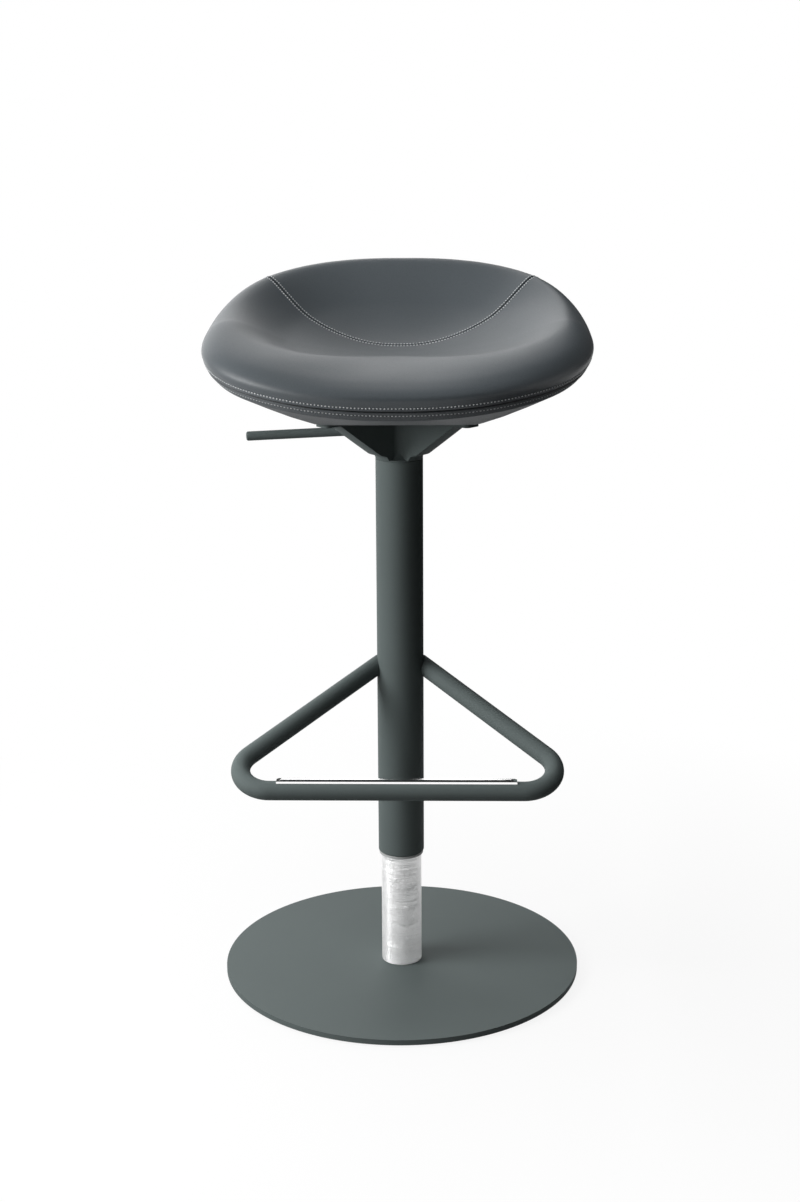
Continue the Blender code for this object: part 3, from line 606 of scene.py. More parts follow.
envelope = lathe(
    [
        (0, STAR_HEIGHT),
        (ARM_REACH + HOLE_GAP, STAR_HEIGHT),
        (ARM_REACH + HOLE_GAP, ear_under),
        (EAR_ROOT, ear_under),
        *[(point.x, point.y) for point in heel],
        (NECK_RADIUS, STAR_NECK),
        (COLUMN_RADIUS, 0),
        (0, 0),
    ],
    steps=96,
)
cavity = lathe(
    [
        (0, STAR_HEIGHT + HOLE_GAP),
        (CAVITY_RADIUS, STAR_HEIGHT + HOLE_GAP),
        (CAVITY_RADIUS, CYLINDER_STANDS + HOLE_GAP),
        (TAPER_TOP + HOLE_GAP, CYLINDER_STANDS + HOLE_GAP),
        (TAPER_FOOT + HOLE_GAP, CYLINDER_STANDS - TAPER_LENGTH),
        (0, CYLINDER_STANDS - TAPER_LENGTH),
    ],
    steps=64,
)
for shape in (envelope, cavity):
    bmesh.ops.translate(shape, verts=shape.verts, vec=(0, 0, STAR_LOW))
slot_low = STAR_LOW + CYLINDER_STANDS
slot_out = -2 * NECK_RADIUS
slot_half = SLOT_WIDTH / 2
slot_outline = [(0, -slot_half), (0, slot_half), (slot_out, slot_half), (slot_out, -slot_half)]
lever_slot = prism(slot_outline, slot_low, slot_low + SLOT_HEIGHT)
ear_screw_low = STAR_LOW + ear_under + HOLE_GAP
ear_screw_places = [place + Vector((0, 0, ear_screw_low)) for place in quarter_places(EAR_SCREW_CIRCLE)]
star = cut(star, envelope, operation="INTERSECT")
foot_flare = arc((COLUMN_RADIUS, STAR_FOOT), COLUMN_RADIUS - STAR_FOOT_TOP, 180, 270, count=10)
foot = lathe([(0, STAR_FOOT), *[(point.x, point.y) for point in foot_flare], (COLUMN_RADIUS, 0), (0, 0)])
bmesh.ops.translate(foot, verts=foot.verts, vec=(0, 0, STAR_LOW))
star = cut(star, foot, operation="UNION")
star = cut(star, cavity, lever_slot, *[screw_hole(EAR_SCREW_LENGTH, place) for place in ear_screw_places])
cast_coat = powder_coat("cast_powder_coat", peel_scale=700.0, peel_depth=0.0002)
piece("seat_star", star, cast_coat, "column", ["seat_bracket"])

# Screws in the bracket's ears: the same kind as under the base, going up into the seat.
# They hold in threaded inserts in the shell, which stay as the solids have them.
for number, place in enumerate(ear_screw_places, 1):
    socket_screw(f"ear_screw_{number}", f"bracket_screw_{number}", EAR_SCREW_LENGTH, place, "column")
for number in range(1, 5):
    nodes[f"seat_insert_{number}"].material_slots[0].material = zinc

# Lever: a coated steel rod with rounded ends.
# It turns on a pin in the bracket and presses the gas spring's valve.
LEVER_RADIUS = 0.005
LEVER_REACH = 0.163
LEVER_TIP = 0.007
LEVER_HEIGHT = 0.6229
LEVER_SLOPE = 0.05
LEVER_ROUND = 0.002

lever_start = Vector((-LEVER_REACH, 0, LEVER_HEIGHT - LEVER_SLOPE * LEVER_REACH))
lever_end = Vector((LEVER_TIP, 0, LEVER_HEIGHT + LEVER_SLOPE * LEVER_TIP))
lever_run = lever_end - lever_start
lever_turn = lever_run.to_track_quat("Z", "Y").to_matrix().to_4x4()
lever = bmesh.new()
bmesh.ops.create_cone(
    lever,
    cap_ends=True,
    segments=48,
    radius1=LEVER_RADIUS,
    radius2=LEVER_RADIUS,
    depth=lever_run.length,
    matrix=Matrix.Translation((lever_start + lever_end) / 2) @ lever_turn,
)
lever_ends = [edge for edge in lever.edges if edge.calc_face_angle() > EDGE_ANGLE]
bmesh.ops.bevel(
    lever, geom=lever_ends, offset=LEVER_ROUND, affect="EDGES", segments=5, profile=0.5, material=-1
)
piece("lever_rod", lever, coat, "lever", ["release_lever"])

# Seat shell: moulded beech plywood inside the leather, which the inserts are pressed into.
# The padding hides it, and it stays as its solid has it.
PLYWOOD_BROWN = (0.55, 0.37, 0.21, 1)
LAYER_SCALE = 1 / 0.028
FIGURE_SCALE = (8.0, 90.0, 90.0)

plywood, root = finish("plywood", {"Specular IOR Level": 0.4})
place = root.add("TexCoord", {}, {}, "Object")
layers = root.add(
    "TexWave", {"bands_direction": "Z"}, {"Vector": place, "Scale": LAYER_SCALE, "Distortion": 1.5}
)
drawn_out = root.add("Mapping", {}, {"Vector": place, "Scale": FIGURE_SCALE})
figure = noise(root, drawn_out, scale=1.0, detail=5.0)
feed(
    plywood,
    Base_Color=toned(root, PLYWOOD_BROWN, 0.75 + 0.20 * layers + 0.25 * figure),
    Roughness=0.5 + 0.2 * figure,
    Normal=root.add("Bump", {}, {"Strength": 0.2, "Distance": 0.0002, "Height": figure}),
)
nodes["seat_shell"].material_slots[0].material = plywood

# Seat: moulded foam under leather, a shallow dish with a high back, sewn from a front and a rear panel
# and an underside. The panels meet in a U-shaped seam across the dish and in a seam round the rim,
# each with stitching on both sides.
SEAT_LOW = 0.6433
SEAT_HALF_WIDTH = 0.2015
SEAT_FRONT = 0.198
SEAT_REAR = 0.188
SEAT_WIDEST = 0.040
REAR_FULLNESS = 2.5
FRONT_FULLNESS = 2.4
SEAT_DISH = 0.059
# Sizes round the seat, from the rear over the side to the front
RIM_HEIGHT = (0.1110, 0.1020, 0.0775, 0.0575, 0.0460)
CREST_RISE = (0.0300, 0.0270, 0.0220, 0.0200, 0.0230)
CREST_INSET = (0.0150, 0.0170, 0.0270, 0.0620, 0.1100)
SHOULDER_INSET = (0.0040, 0.0060, 0.0090, 0.0130, 0.0200)
SHOULDER_DROP = (0.0090, 0.0080, 0.0066, 0.0072, 0.0120)
SEAM_DROP = (0.0220, 0.0160, 0.0113, 0.0135, 0.0140)
LIP_DROP = (0.0060, 0.0070, 0.0070, 0.0080, 0.0093)
SEAM_INSET = 0.0035
LIP_INSET = 0.0095
FLAT_HALF = 0.090
FLAT_SQUARENESS = 10
DISH_SHARES = (0, 0.3, 0.65, 1)
SLOPE_SHARES = (0.66, 0.33)
SLOPE_BOW = 1.1
U_SETBACK = 0.038
U_BEND = 3.55
U_STEP = 0.0005
SEAM_SPACING = 0.0004


def around(values, turn):
    """A size at an angle from the rear, on a smooth curve through its five values."""
    last = len(values) - 1
    station = abs((turn + math.pi) % (2 * math.pi) - math.pi) / (math.pi / last)
    first = min(int(station), last - 1)
    part = station - first
    before, low, high, after = (values[last - abs(last - abs(first + step))] for step in (-1, 0, 1, 2))
    bend = (high - before) * part + (2 * before - 5 * low + 4 * high - after) * part**2
    return low + (bend + (3 * (low - high) + after - before) * part**3) / 2


def plan(turn):
    """The rim's point in plan at an angle from the rear."""
    across, along = math.sin(turn), math.cos(turn)
    power = 2 / (REAR_FULLNESS if along > 0 else FRONT_FULLNESS)
    depth = SEAT_REAR + SEAT_WIDEST if along > 0 else SEAT_FRONT - SEAT_WIDEST
    x = math.copysign(SEAT_HALF_WIDTH * abs(across) ** power, across)
    return Vector((x, math.copysign(depth * abs(along) ** power, along) - SEAT_WIDEST))


def smooth_run(knots, steps):
    """Points on a smooth curve through knots, as many as steps for each stretch."""
    knots = [Vector(knot) for knot in knots]
    reach = [math.sqrt(max((end - start).length, 1e-6)) for start, end in zip(knots, knots[1:])]
    slopes = [(end - start) / gap for start, end, gap in zip(knots, knots[1:], reach)]
    tangents = [Vector((slopes[0].x, 0))]
    for before, after, gap_before, gap_after in zip(slopes, slopes[1:], reach, reach[1:]):
        weight = gap_before / (gap_before + gap_after)
        tangents.append(after * weight + before * (1 - weight))
    tangents.append(slopes[-1])
    points = []
    for number, gap in enumerate(reach):
        for part in (step / steps for step in range(steps)):
            points.append(
                (2 * part**3 - 3 * part**2 + 1) * knots[number]
                + (part**3 - 2 * part**2 + part) * gap * tangents[number]
                + (3 * part**2 - 2 * part**3) * knots[number + 1]
                + (part**3 - part**2) * gap * tangents[number + 1]
            )
    return points + [knots[-1]]


def seat_outlines(turn):
    """Radius and height along the seat at an angle: from the dish's middle to the seam, and on below it."""
    rim = plan(turn)
    direction = rim.normalized()
    rim_height = around(RIM_HEIGHT, turn)
    crest = rim.length - around(CREST_INSET, turn)
    crest_height = rim_height + around(CREST_RISE, turn)
    seam = Vector((rim.length - SEAM_INSET, rim_height - around(SEAM_DROP, turn)))
    dish = [(crest * share, SEAT_DISH + (crest_height - SEAT_DISH) * share**2) for share in DISH_SHARES]
    shoulder = (rim.length - around(SHOULDER_INSET, turn), crest_height - around(SHOULDER_DROP, turn))
    upper = smooth_run([*dish, shoulder, (rim.length, rim_height), seam], steps=16)
    lip = Vector((rim.length - LIP_INSET, seam.y - around(LIP_DROP, turn)))
    power = FLAT_SQUARENESS
    flat = Vector((FLAT_HALF / (abs(direction.x) ** power + abs(direction.y) ** power) ** (1 / power), 0))
    rise = lip - flat
    slope = [flat + Vector((rise.x * share, rise.y * share**SLOPE_BOW)) for share in SLOPE_SHARES]
    lower = [seam, lip, *slope, flat, Vector((0, 0))]
    return upper, lower


def way_along(points):
    """How far along a run each of its points lies."""
    return np.concatenate([[0], np.cumsum(np.linalg.norm(np.diff(points, axis=0), axis=1))])


def points_at(marks, way, points):
    """Points of a run at marks along it."""
    return np.stack([np.interp(marks, way, column) for column in points.T], axis=-1)


def even_run(points, count):
    """As many points as count, evenly along a run of points."""
    points = np.array([tuple(point) for point in points])
    way = way_along(points)
    return points_at(np.linspace(0, way[-1], count), way, points)


SEAT_TURNS = 720
SEAT_RUN = 240
turns = [2 * math.pi * number / SEAT_TURNS - math.pi for number in range(SEAT_TURNS + 1)]
outlines = [seat_outlines(turn) for turn in turns]
upper_runs = np.array([even_run(upper, SEAT_RUN + 1) for upper, lower in outlines])
lower_runs = np.array([even_run(lower, SEAT_RUN + 1) for upper, lower in outlines])
bearings = np.unwrap([math.atan2(plan(turn).x, plan(turn).y) for turn in turns])


def on_seat(bearing, way):
    """Points of the seat's skin: way is 0 in the dish, 1 at the rim's seam and 2 under the middle."""
    column_at = np.interp(bearing, bearings, np.arange(SEAT_TURNS + 1))
    left = np.minimum(column_at.astype(int), SEAT_TURNS - 1)
    right_share = (column_at - left)[:, None]
    along = np.clip(np.where(way > 1, way - 1, way), 0, 1) * SEAT_RUN
    low = np.minimum(along.astype(int), SEAT_RUN - 1)
    up_share = (along - low)[:, None]
    found = []
    for runs in (upper_runs, lower_runs):
        near = runs[left, low] * (1 - up_share) + runs[left, low + 1] * up_share
        far = runs[left + 1, low] * (1 - up_share) + runs[left + 1, low + 1] * up_share
        found.append(near * (1 - right_share) + far * right_share)
    run = np.where((way > 1)[:, None], found[1], found[0])
    return np.stack([run[:, 0] * np.sin(bearing), run[:, 0] * np.cos(bearing), SEAT_LOW + run[:, 1]], axis=1)


SEAM_CROWDING = 0.45


def seat_blank(cuts):
    """A cube, cut fine and drawn over the seat's skin, so that its faces stay nearly square everywhere."""
    shape = bmesh.new()
    bmesh.ops.create_cube(shape, size=2)
    bmesh.ops.subdivide_edges(shape, edges=shape.edges, cuts=cuts, use_grid_fill=True)
    spots = np.tan(np.array([tuple(vert.co) for vert in shape.verts]) * (math.pi / 4))
    spots /= np.linalg.norm(spots, axis=1)[:, None]
    bearing = np.arctan2(spots[:, 0], spots[:, 1])
    way = np.arccos(np.clip(spots[:, 2], -1, 1)) / (math.pi / 2)
    off = 1 - way
    off = off * (SEAM_CROWDING + (1 - SEAM_CROWDING) * np.abs(off))
    for vert, point in zip(shape.verts, on_seat(bearing, 1 - off)):
        vert.co = point
    bmesh.ops.recalc_face_normals(shape, faces=shape.faces)
    return shape


def u_seam_run():
    """Points of the U-shaped seam on the skin: over the dish to each side, and down to the rim's seam."""
    ways = np.linspace(0, 1, SEAT_RUN + 1)
    right_side = []
    for x in np.arange(0, SEAT_HALF_WIDTH, U_STEP):
        y = U_SETBACK + U_BEND * x**2
        spots = on_seat(np.full(SEAT_RUN + 1, math.atan2(x, y)), ways)
        radii = np.hypot(spots[:, 0], spots[:, 1])
        widest = radii.argmax()
        if math.hypot(x, y) > radii[widest]:
            right_side += list(spots[widest:])
            break
        mark = np.interp(math.hypot(x, y), radii[: widest + 1], np.arange(widest + 1))
        right_side.append(points_at(mark, np.arange(SEAT_RUN + 1), spots))
    left_side = [spot * (-1, 1, 1) for spot in reversed(right_side[1:])]
    return np.array(left_side + right_side)


def spaced(points, pitch, closed=False):
    """Points evenly spaced along a run, and its direction at each."""
    if closed:
        points = np.concatenate([points, points[:1]])
    way = way_along(points)
    count = int(way[-1] / pitch)
    marks = (np.arange(count) + 0.5) * way[-1] / count
    ahead = points_at(marks + pitch / 4, way, points)
    behind = points_at(marks - pitch / 4, way, points)
    return points_at(marks, way, points), ahead - behind


def nearest(points):
    """A tree for the distance to a run of points."""
    tree = KDTree(len(points))
    for number, point in enumerate(points):
        tree.insert(point, number)
    tree.balance()
    return tree


u_seam = u_seam_run()
rim_seam = on_seat(bearings[:-1], np.ones(SEAT_TURNS))
u_tree = nearest(spaced(u_seam, SEAM_SPACING)[0])
rim_tree = nearest(spaced(rim_seam, SEAM_SPACING, closed=True)[0])


def seam_distances(shape):
    """Each vertex's distance to the U-shaped seam and to the rim's seam."""
    return np.array([(u_tree.find(vert.co)[2], rim_tree.find(vert.co)[2]) for vert in shape.verts])


# The foam swells the panels between their seams: cloth under pressure, held at the seams and below the rim.
# Only how far it rises off the plain skin is kept, evened out, because the leather is drawn taut.
SWELL_CUTS = 39
SWELL_START = 0.0006
SWELL_CAP = 0.0012
SWELL_FRAMES = 20
SWELL_EVENING = 16
SWELL_PRESSURE = 4.0
STRETCH_STIFFNESS = 40.0
BEND_STIFFNESS = 5.0
SEAM_HOLD = 0.006

swell_tree = None
form = seat_blank(SWELL_CUTS)
form.normal_update()
rest_spots = [vert.co.copy() for vert in form.verts]
rest_normals = [vert.normal.copy() for vert in form.verts]
held = []
for vert, gaps in zip(form.verts, seam_distances(form)):
    upper_side = rim_tree.find(vert.co)[0].z < vert.co.z or vert.normal.z > 0
    held.append(min(gaps) < SEAM_HOLD or not upper_side)
    if upper_side:
        vert.co -= vert.normal * SWELL_START
balloon = bare_object("swelling_skin", form)
pins = balloon.vertex_groups.new(name="held")
pins.add([number for number, fixed in enumerate(held) if fixed], 1.0, "REPLACE")
cloth = balloon.modifiers.new("cloth", "CLOTH")
cloth.settings.vertex_group_mass = "held"
cloth.settings.use_pressure = True
cloth.settings.uniform_pressure_force = SWELL_PRESSURE
cloth.settings.tension_stiffness = STRETCH_STIFFNESS
cloth.settings.compression_stiffness = STRETCH_STIFFNESS
cloth.settings.bending_stiffness = BEND_STIFFNESS
cloth.settings.effector_weights.gravity = 0.0
cloth.point_cache.frame_end = SWELL_FRAMES
start_frame = bpy.context.scene.frame_current
for number in range(1, SWELL_FRAMES + 1):
    bpy.context.scene.frame_set(number)
swollen = balloon.evaluated_get(bpy.context.evaluated_depsgraph_get()).to_mesh()
rises = [
    (vert.co - rest).dot(normal)
    for vert, rest, normal in zip(swollen.vertices, rest_spots, rest_normals)
]
rises = np.where(held, 0, np.clip(rises, 0, SWELL_CAP))
pairs = np.array([tuple(edge.vertices) for edge in balloon.data.edges])
pairs = np.concatenate([pairs, pairs[:, ::-1]])
for number in range(SWELL_EVENING):
    totals = np.bincount(pairs[:, 0], rises[pairs[:, 1]], len(rises))
    rises = np.where(held, 0, totals / np.bincount(pairs[:, 0], minlength=len(rises)))
bpy.context.scene.frame_set(start_frame)
swell_tree = nearest(rest_spots)
bpy.data.objects.remove(balloon, do_unlink=True)

# The skin itself, with a finer mesh beside the seams, which draw it in:
# a fold at the seam, a welt beside it and a dent under each row of stitches.
SKIN_CUTS = 83
FINE_REACH = 0.0075
FINEST_REACH = 0.0042
U_ROW = 0.0027
RIM_ROW = 0.0043
RIM_FOLD_DEPTH = 0.0024
U_FOLD_DEPTH = 0.0016
FOLD_WIDTH = 0.0008
WELT_RISE = 0.0005
WELT_PLACE = 0.62
WELT_WIDTH = 0.35
ROW_DEPTH = 0.00035
ROW_WIDTH = 0.0006
# Widths of the painted shade that darkens the leather beside each seam
U_SHADE_WIDTH = 0.0012
RIM_SHADE_WIDTH = 0.0013
NEIGHBOURS = 6
NEIGHBOUR_SOFTENING = 0.001
UNDERSIDE_LEAN = 0.1

skin = seat_blank(SKIN_CUTS)
for reach in (FINE_REACH, FINEST_REACH):
    gaps = seam_distances(skin).min(axis=1)
    skin.verts.ensure_lookup_table()
    close = [edge for edge in skin.edges if min(gaps[vert.index] for vert in edge.verts) < reach]
    bmesh.ops.subdivide_edges(skin, edges=close, cuts=1, use_grid_fill=True)
    skin.verts.index_update()
bmesh.ops.triangulate(skin, faces=[face for face in skin.faces if len(face.verts) > 4])
skin.normal_update()
plain_skin = BVHTree.FromBMesh(skin)
seam_gaps = seam_distances(skin)


def bell(distance, width):
    """1 at a distance of 0, falling off smoothly over a width."""
    return math.exp(-((distance / width) ** 2))


def drawn_in(gap, row, fold_depth):
    """How far out a seam moves the skin at a distance from it, where its stitches run in a row beside it."""
    fold = fold_depth * bell(gap, FOLD_WIDTH)
    welt = WELT_RISE * bell(gap - row * WELT_PLACE, row * WELT_WIDTH)
    return welt - fold - ROW_DEPTH * bell(gap - row, ROW_WIDTH)


for vert, (u_gap, rim_gap) in zip(skin.verts, seam_gaps):
    shift = drawn_in(u_gap, U_ROW, U_FOLD_DEPTH) + drawn_in(rim_gap, RIM_ROW, RIM_FOLD_DEPTH)
    if swell_tree:
        close = swell_tree.find_n(vert.co, NEIGHBOURS)
        weights = [1 / (gap + NEIGHBOUR_SOFTENING) for spot, index, gap in close]
        rises_here = [rises[index] for spot, index, gap in close]
        shift += sum(weight * rise for weight, rise in zip(weights, rises_here)) / sum(weights)
    vert.co += vert.normal * shift
for face in skin.faces:
    middle = face.calc_center_median()
    face.material_index = int(face.normal.z < UNDERSIDE_LEAN and rim_tree.find(middle)[0].z > middle.z)
# Painted shade: how much the leather's colour is darkened close to each seam, where shade falls in its
# groove.
painted_groove_shade = skin.verts.layers.float.new("painted_groove_shade")
for vert, (u_gap, rim_gap) in zip(skin.verts, seam_gaps):
    vert[painted_groove_shade] = max(bell(u_gap, U_SHADE_WIDTH), bell(rim_gap, RIM_SHADE_WIDTH))

# Leather with a pebbled grain and fine pores, and a paler one with a plainer grain for the underside.
# Both have painted shade in the grooves of the seams: their colour is darkened there.
LEATHER_GREY = (0.059, 0.070, 0.078, 1)
GRAIN = 950.0
GRAIN_WARP = 0.0008
GRAIN_WARP_SCALE = 400.0
UNDERSIDE_GREY = (0.140, 0.155, 0.165, 1)
UNDERSIDE_GRAIN = 700.0

leather, root = finish("leather", {"Specular IOR Level": 0.5, "Sheen Weight": 0.05})
place = root.add("TexCoord", {}, {}, "Object")
wander = root.add("TexNoise", {}, {"Vector": place, "Scale": GRAIN_WARP_SCALE, "Detail": 1.0}, "Color")
warped = root.add("VectorMath", {"operation": "MULTIPLY_ADD"}, {0: wander, 1: (GRAIN_WARP,) * 3, 2: place})
pebbles = root.add(
    "TexVoronoi", {"feature": "SMOOTH_F1"}, {"Vector": warped, "Scale": GRAIN, "Smoothness": 0.5}
)
pores = noise(root, place, scale=2600.0, detail=2.0)
cloud = noise(root, place, scale=12.0, detail=4.0)
# Painted shade in the seams' grooves, which darkens the leather's colour there.
painted_seam_shade = root.add("Attribute", {"attribute_name": "painted_groove_shade"}, {}, "Fac")
height = 0.5 * pores - pebbles
feed(
    leather,
    Base_Color=toned(root, LEATHER_GREY, (1.02 - 0.22 * pebbles + 0.14 * cloud) * (1 - 0.75 * painted_seam_shade)),
    Roughness=0.40 + 0.08 * pebbles + 0.06 * cloud,
    Normal=root.add("Bump", {}, {"Strength": 0.22, "Distance": 0.0002, "Height": height}),
)
underside, root = finish("leather_underside", {"Specular IOR Level": 0.35})
place = root.add("TexCoord", {}, {}, "Object")
grain = root.add("TexVoronoi", {}, {"Vector": place, "Scale": UNDERSIDE_GRAIN, "Randomness": 0.35})
# Painted shade in the seams' grooves, which darkens the underside's colour there.
painted_seam_shade = root.add("Attribute", {"attribute_name": "painted_groove_shade"}, {}, "Fac")
feed(
    underside,
    Base_Color=toned(root, UNDERSIDE_GREY, (1.0 - 0.5 * grain) * (1 - 0.75 * painted_seam_shade)),
    Roughness=0.62 + 0.15 * grain,
    Normal=root.add("Bump", {}, {"Strength": 0.4, "Distance": 0.0003, "Height": 1.0 - grain}),
)
cushion = bare_object("seat_cushion", skin)
cushion.data.materials.append(leather)
cushion.data.materials.append(underside)
cushion.data.shade_smooth()
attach(cushion, "column")
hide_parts("seat_cover_front", "seat_cover_back", "seat_cover_under", "seat_foam")

# Stitching: waxed thread in grey, a row on each side of each seam, each stitch sunk at its ends.
# The rows of the U-shaped seam stop short of those round the rim.
U_PITCH = 0.0034
RIM_PITCH = 0.0036
STITCH_LENGTH = 0.0021
STITCH_WIDTH = 0.0016
STITCH_HEIGHT = 0.0008
NEEDLE = 0.006
THREAD_GREY = (0.58, 0.60, 0.61, 1)

thread, root = finish("thread", {"Specular IOR Level": 0.4, "Sheen Weight": 0.3})
place = root.add("TexCoord", {}, {}, "Object")
strands = noise(root, place, scale=5000.0, detail=2.0)
feed(
    thread,
    Base_Color=toned(root, THREAD_GREY, 0.8 + 0.4 * strands),
    Roughness=0.6 + 0.15 * strands,
    Normal=root.add("Bump", {}, {"Strength": 0.4, "Distance": 0.0001, "Height": strands}),
)
bpy.context.view_layer.update()
finished_skin = BVHTree.FromObject(cushion, bpy.context.evaluated_depsgraph_get())
bead = bmesh.new()
bmesh.ops.create_uvsphere(
    bead,
    u_segments=8,
    v_segments=5,
    radius=1,
    matrix=Matrix.Diagonal((STITCH_LENGTH / 2, STITCH_WIDTH / 2, STITCH_HEIGHT, 1)),
)
stitch = bpy.data.meshes.new("stitch")
bead.to_mesh(stitch)
bead.free()
stitching = bmesh.new()
for seam, row, pitch, closed in ((u_seam, U_ROW, U_PITCH, False), (rim_seam, RIM_ROW, RIM_PITCH, True)):
    for spot, run in zip(*spaced(seam, pitch, closed)):
        if not closed and rim_tree.find(spot)[2] < 2 * RIM_ROW:
            continue
        outwards = plain_skin.find_nearest(spot)[1]
        across = outwards.cross(Vector(run)).normalized()
        for side in (-1, 1):
            beside, upright = plain_skin.find_nearest(Vector(spot) + across * (side * row))[:2]
            foot = finished_skin.ray_cast(beside + upright * NEEDLE, -upright)[0]
            along = (Vector(run) - upright * upright.dot(Vector(run))).normalized()
            turn = Matrix((along, upright.cross(along), upright)).transposed().to_4x4()
            lay = Matrix.Translation(foot) @ turn
            stitch.transform(lay)
            stitching.from_mesh(stitch)
            stitch.transform(lay.inverted())
threads = bare_object("seat_stitching", stitching)
threads.data.materials.append(thread)
threads.data.shade_smooth()
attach(threads, "column")

# Studio: a white floor and surround that keep the stool's shadow, softboxes behind, above and at the left,
# and a black flag at the right, which leaves the column's right side dark. A lamp at the right, for the
# leather, and a low white ring, for the post, show in reflections only.
FLOOR_RADIUS = 8.0
FLOOR_GLOW = 0.88
SHADOW_REACH = (0.30, 0.90)
FLOOR_ALBEDO = 0.85
FLOOR_BOUNCE = 0.14
AMBIENT = 0.04
FLAG_PLACE = (0.34, 1.0, 0.42)
FLAG_HEIGHT = 0.40
FLAG_LENGTH = 2.9
FLAG_TURN = math.radians(-4)
CARD_RADIUS = 0.9
CARD_HEIGHT = 0.36
CARD_GLOW = 1.15

floor_white = bpy.data.materials.new("floor_white")
floor_white.use_nodes = True
tree = floor_white.node_tree
tree.nodes.clear()
root = Socket(tree)


def seen_rays(base):
    """1 for rays that show the surround, straight, mirrored or through glass, and 0 for those that light."""
    kinds = ("Is Camera Ray", "Is Glossy Ray", "Is Transmission Ray")
    camera_ray, glossy_ray, clear_ray = (base.add("LightPath", {}, {}, kind) for kind in kinds)
    return base.maths("MINIMUM", camera_ray + glossy_ray + clear_ray, 1.0)


place = root.add("TexCoord", {}, {}, "Object")
distance = root.add("VectorMath", {"operation": "LENGTH"}, {0: place}, "Value")
shadow_start, shadow_end = SHADOW_REACH
outside = root.add("MapRange", {}, {"Value": distance, "From Min": shadow_start, "From Max": shadow_end})
share = seen_rays(root) * (FLOOR_GLOW + (1 - FLOOR_GLOW) * outside)
whiteness = FLOOR_BOUNCE + (FLOOR_ALBEDO - FLOOR_BOUNCE) * seen_rays(root)
floor_tone = root.add("CombineColor", {}, {0: whiteness, 1: whiteness, 2: whiteness})
matt = root.add("BsdfDiffuse", {}, {"Color": floor_tone})
glow = root.add("Emission", {}, {"Color": (1, 1, 1, 1), "Strength": 1.0})
surface = root.add("MixShader", {}, {0: share, 1: matt, 2: glow})
output = tree.nodes.new("ShaderNodeOutputMaterial")
tree.links.new(surface.output, output.inputs["Surface"])
floor_shape = bmesh.new()
bmesh.ops.create_circle(floor_shape, cap_ends=True, segments=96, radius=FLOOR_RADIUS)
floor = bare_object("studio_floor", floor_shape)
floor.data.materials.append(floor_white)

world = bpy.data.worlds.new("studio")
bpy.context.scene.world = world
world.use_nodes = True
sky = Socket(world.node_tree)
strength = AMBIENT + (1 - AMBIENT) * sky.add("LightPath", {}, {}, "Is Camera Ray")
background = world.node_tree.nodes["Background"]
background.inputs["Color"].default_value = (1, 1, 1, 1)
world.node_tree.links.new(strength.output, background.inputs["Strength"])


def softbox(name, place, target, size, radiance, lighting=True, mirrored=True):
    """A rectangular lamp that faces a target, as bright as radiance times white.

    Without lighting it shows in reflections only, and without mirrored it doesn't show in them.
    """
    width, height = size
    lamp = bpy.data.lights.new(name, "AREA")
    lamp.shape = "RECTANGLE"
    lamp.size = width
    lamp.size_y = height
    lamp.energy = radiance * math.pi * width * height
    made = bpy.data.objects.new(name, lamp)
    bpy.context.collection.objects.link(made)
    made.location = place
    made.rotation_euler = (Vector(target) - Vector(place)).to_track_quat("-Z", "Y").to_euler()
    made.visible_camera = False
    made.visible_diffuse = lighting
    made.visible_glossy = mirrored


softbox("backdrop_glow", place=(-1.4, 2.6, 1.9), target=(-1.4, 0, 1.9), size=(3.4, 3.8), radiance=2.0)
softbox(
    "mirror_card_right",
    place=(2.2, -0.5, 1.15),
    target=(0, 0, 0.75),
    size=(2.2, 0.9),
    radiance=1.2,
    lighting=False,
)
softbox("softbox_left", place=(-1.85, -0.55, 1.2), target=(0, 0, 0.5), size=(1.2, 0.9), radiance=11.6)
softbox(
    "softbox_above",
    place=(-0.6, -0.35, 2.9),
    target=(0, 0, 0),
    size=(2.2, 2.4),
    radiance=2.9,
    mirrored=False,
)
softbox("fill_left", place=(-1.6, -1.6, 0.8), target=(0, 0, 0.5), size=(0.8, 0.5), radiance=6.0)
flag_shape = bmesh.new()
bmesh.ops.create_grid(flag_shape, x_segments=1, y_segments=1, size=0.5)
bmesh.ops.scale(flag_shape, verts=flag_shape.verts, vec=(FLAG_HEIGHT, FLAG_LENGTH, 1))
bmesh.ops.rotate(flag_shape, verts=flag_shape.verts, matrix=Matrix.Rotation(math.pi / 2, 3, "Y"))
bmesh.ops.rotate(flag_shape, verts=flag_shape.verts, matrix=Matrix.Rotation(FLAG_TURN, 3, "Z"))
bmesh.ops.translate(flag_shape, verts=flag_shape.verts, vec=FLAG_PLACE)
flag = bare_object("black_flag", flag_shape)
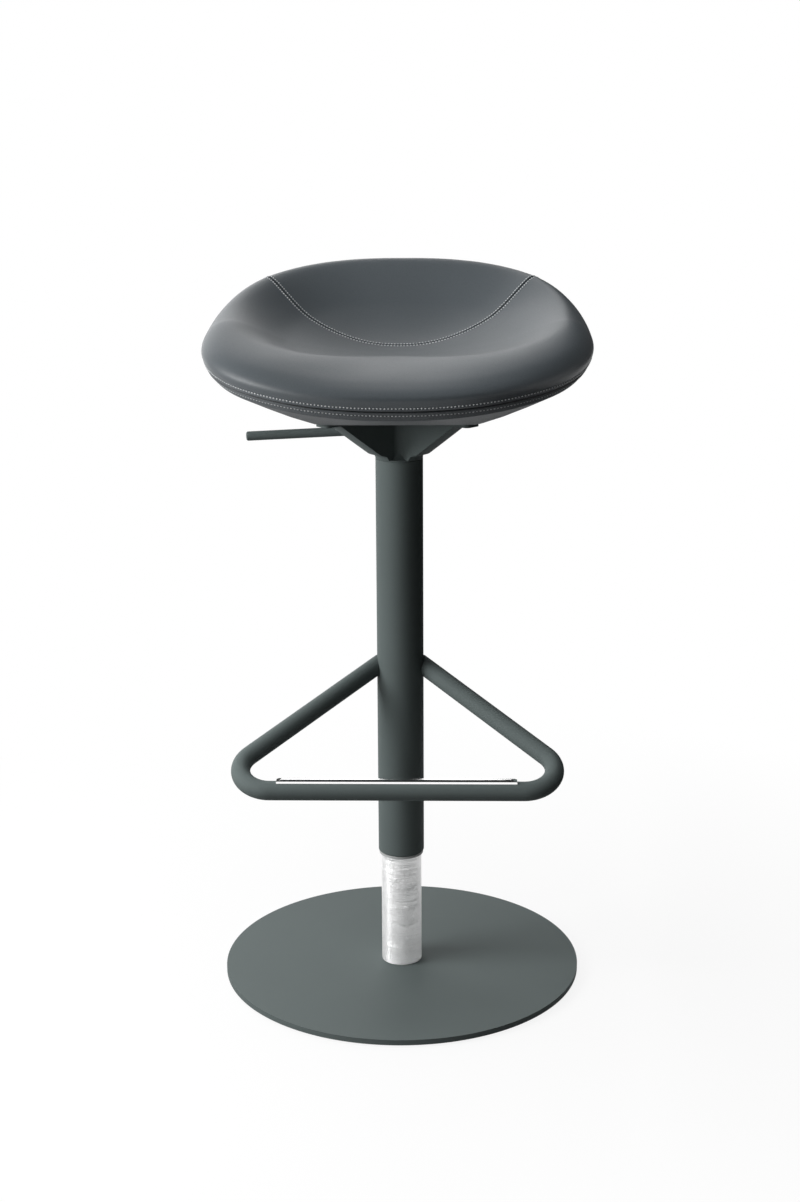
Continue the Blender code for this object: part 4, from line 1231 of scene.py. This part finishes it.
flag_black = {"Base Color": (0.01, 0.01, 0.01, 1), "Roughness": 0.9}
flag.data.materials.append(finish("flag_black", flag_black)[0])
flag.visible_camera = False
card_shape = bmesh.new()
bmesh.ops.create_cone(
    card_shape,
    segments=96,
    radius1=CARD_RADIUS,
    radius2=CARD_RADIUS,
    depth=CARD_HEIGHT,
    matrix=Matrix.Translation((0, 0, CARD_HEIGHT / 2)),
)
card = bare_object("white_card", card_shape)
card_white = {"Base Color": (0, 0, 0, 1), "Emission Color": (1, 1, 1, 1), "Emission Strength": CARD_GLOW}
card.data.materials.append(finish("card_white", card_white)[0])
card.visible_camera = False
card.visible_diffuse = False
card.visible_transmission = False
card.visible_shadow = False

# Camera: as the photograph was taken, from just right of the middle and a little above the seat.
# Its place and lens were fitted to the outlines of base, column, footrest and seat.
CAMERA_DISTANCE = 2.1209
CAMERA_HEIGHT = 1.0281
CAMERA_BEARING = math.radians(1.4)
CAMERA_PITCH = math.radians(15.697)
CAMERA_ROLL = math.radians(0.324)
CAMERA_LENS = 60.51
CAMERA_SENSOR = 36

right = Vector((math.cos(CAMERA_BEARING), math.sin(CAMERA_BEARING), 0))
level = Vector((-math.sin(CAMERA_BEARING), math.cos(CAMERA_BEARING), 0))
forward = level * math.cos(CAMERA_PITCH) - Vector((0, 0, math.sin(CAMERA_PITCH)))
upright = right.cross(forward)
leaning_up = upright * math.cos(CAMERA_ROLL) + right * math.sin(CAMERA_ROLL)
leaning_right = right * math.cos(CAMERA_ROLL) - upright * math.sin(CAMERA_ROLL)
camera = bpy.data.objects.new("camera", bpy.data.cameras.new("camera"))
bpy.context.collection.objects.link(camera)
camera.data.lens = CAMERA_LENS
camera.data.sensor_width = CAMERA_SENSOR
stand = Matrix.Translation(-level * CAMERA_DISTANCE + Vector((0, 0, CAMERA_HEIGHT)))
camera.matrix_world = stand @ Matrix((leaning_right, leaning_up, -forward)).transposed().to_4x4()
bpy.context.scene.camera = camera
bpy.context.scene.view_settings.view_transform = "Standard"

bpy.context.view_layer.update()
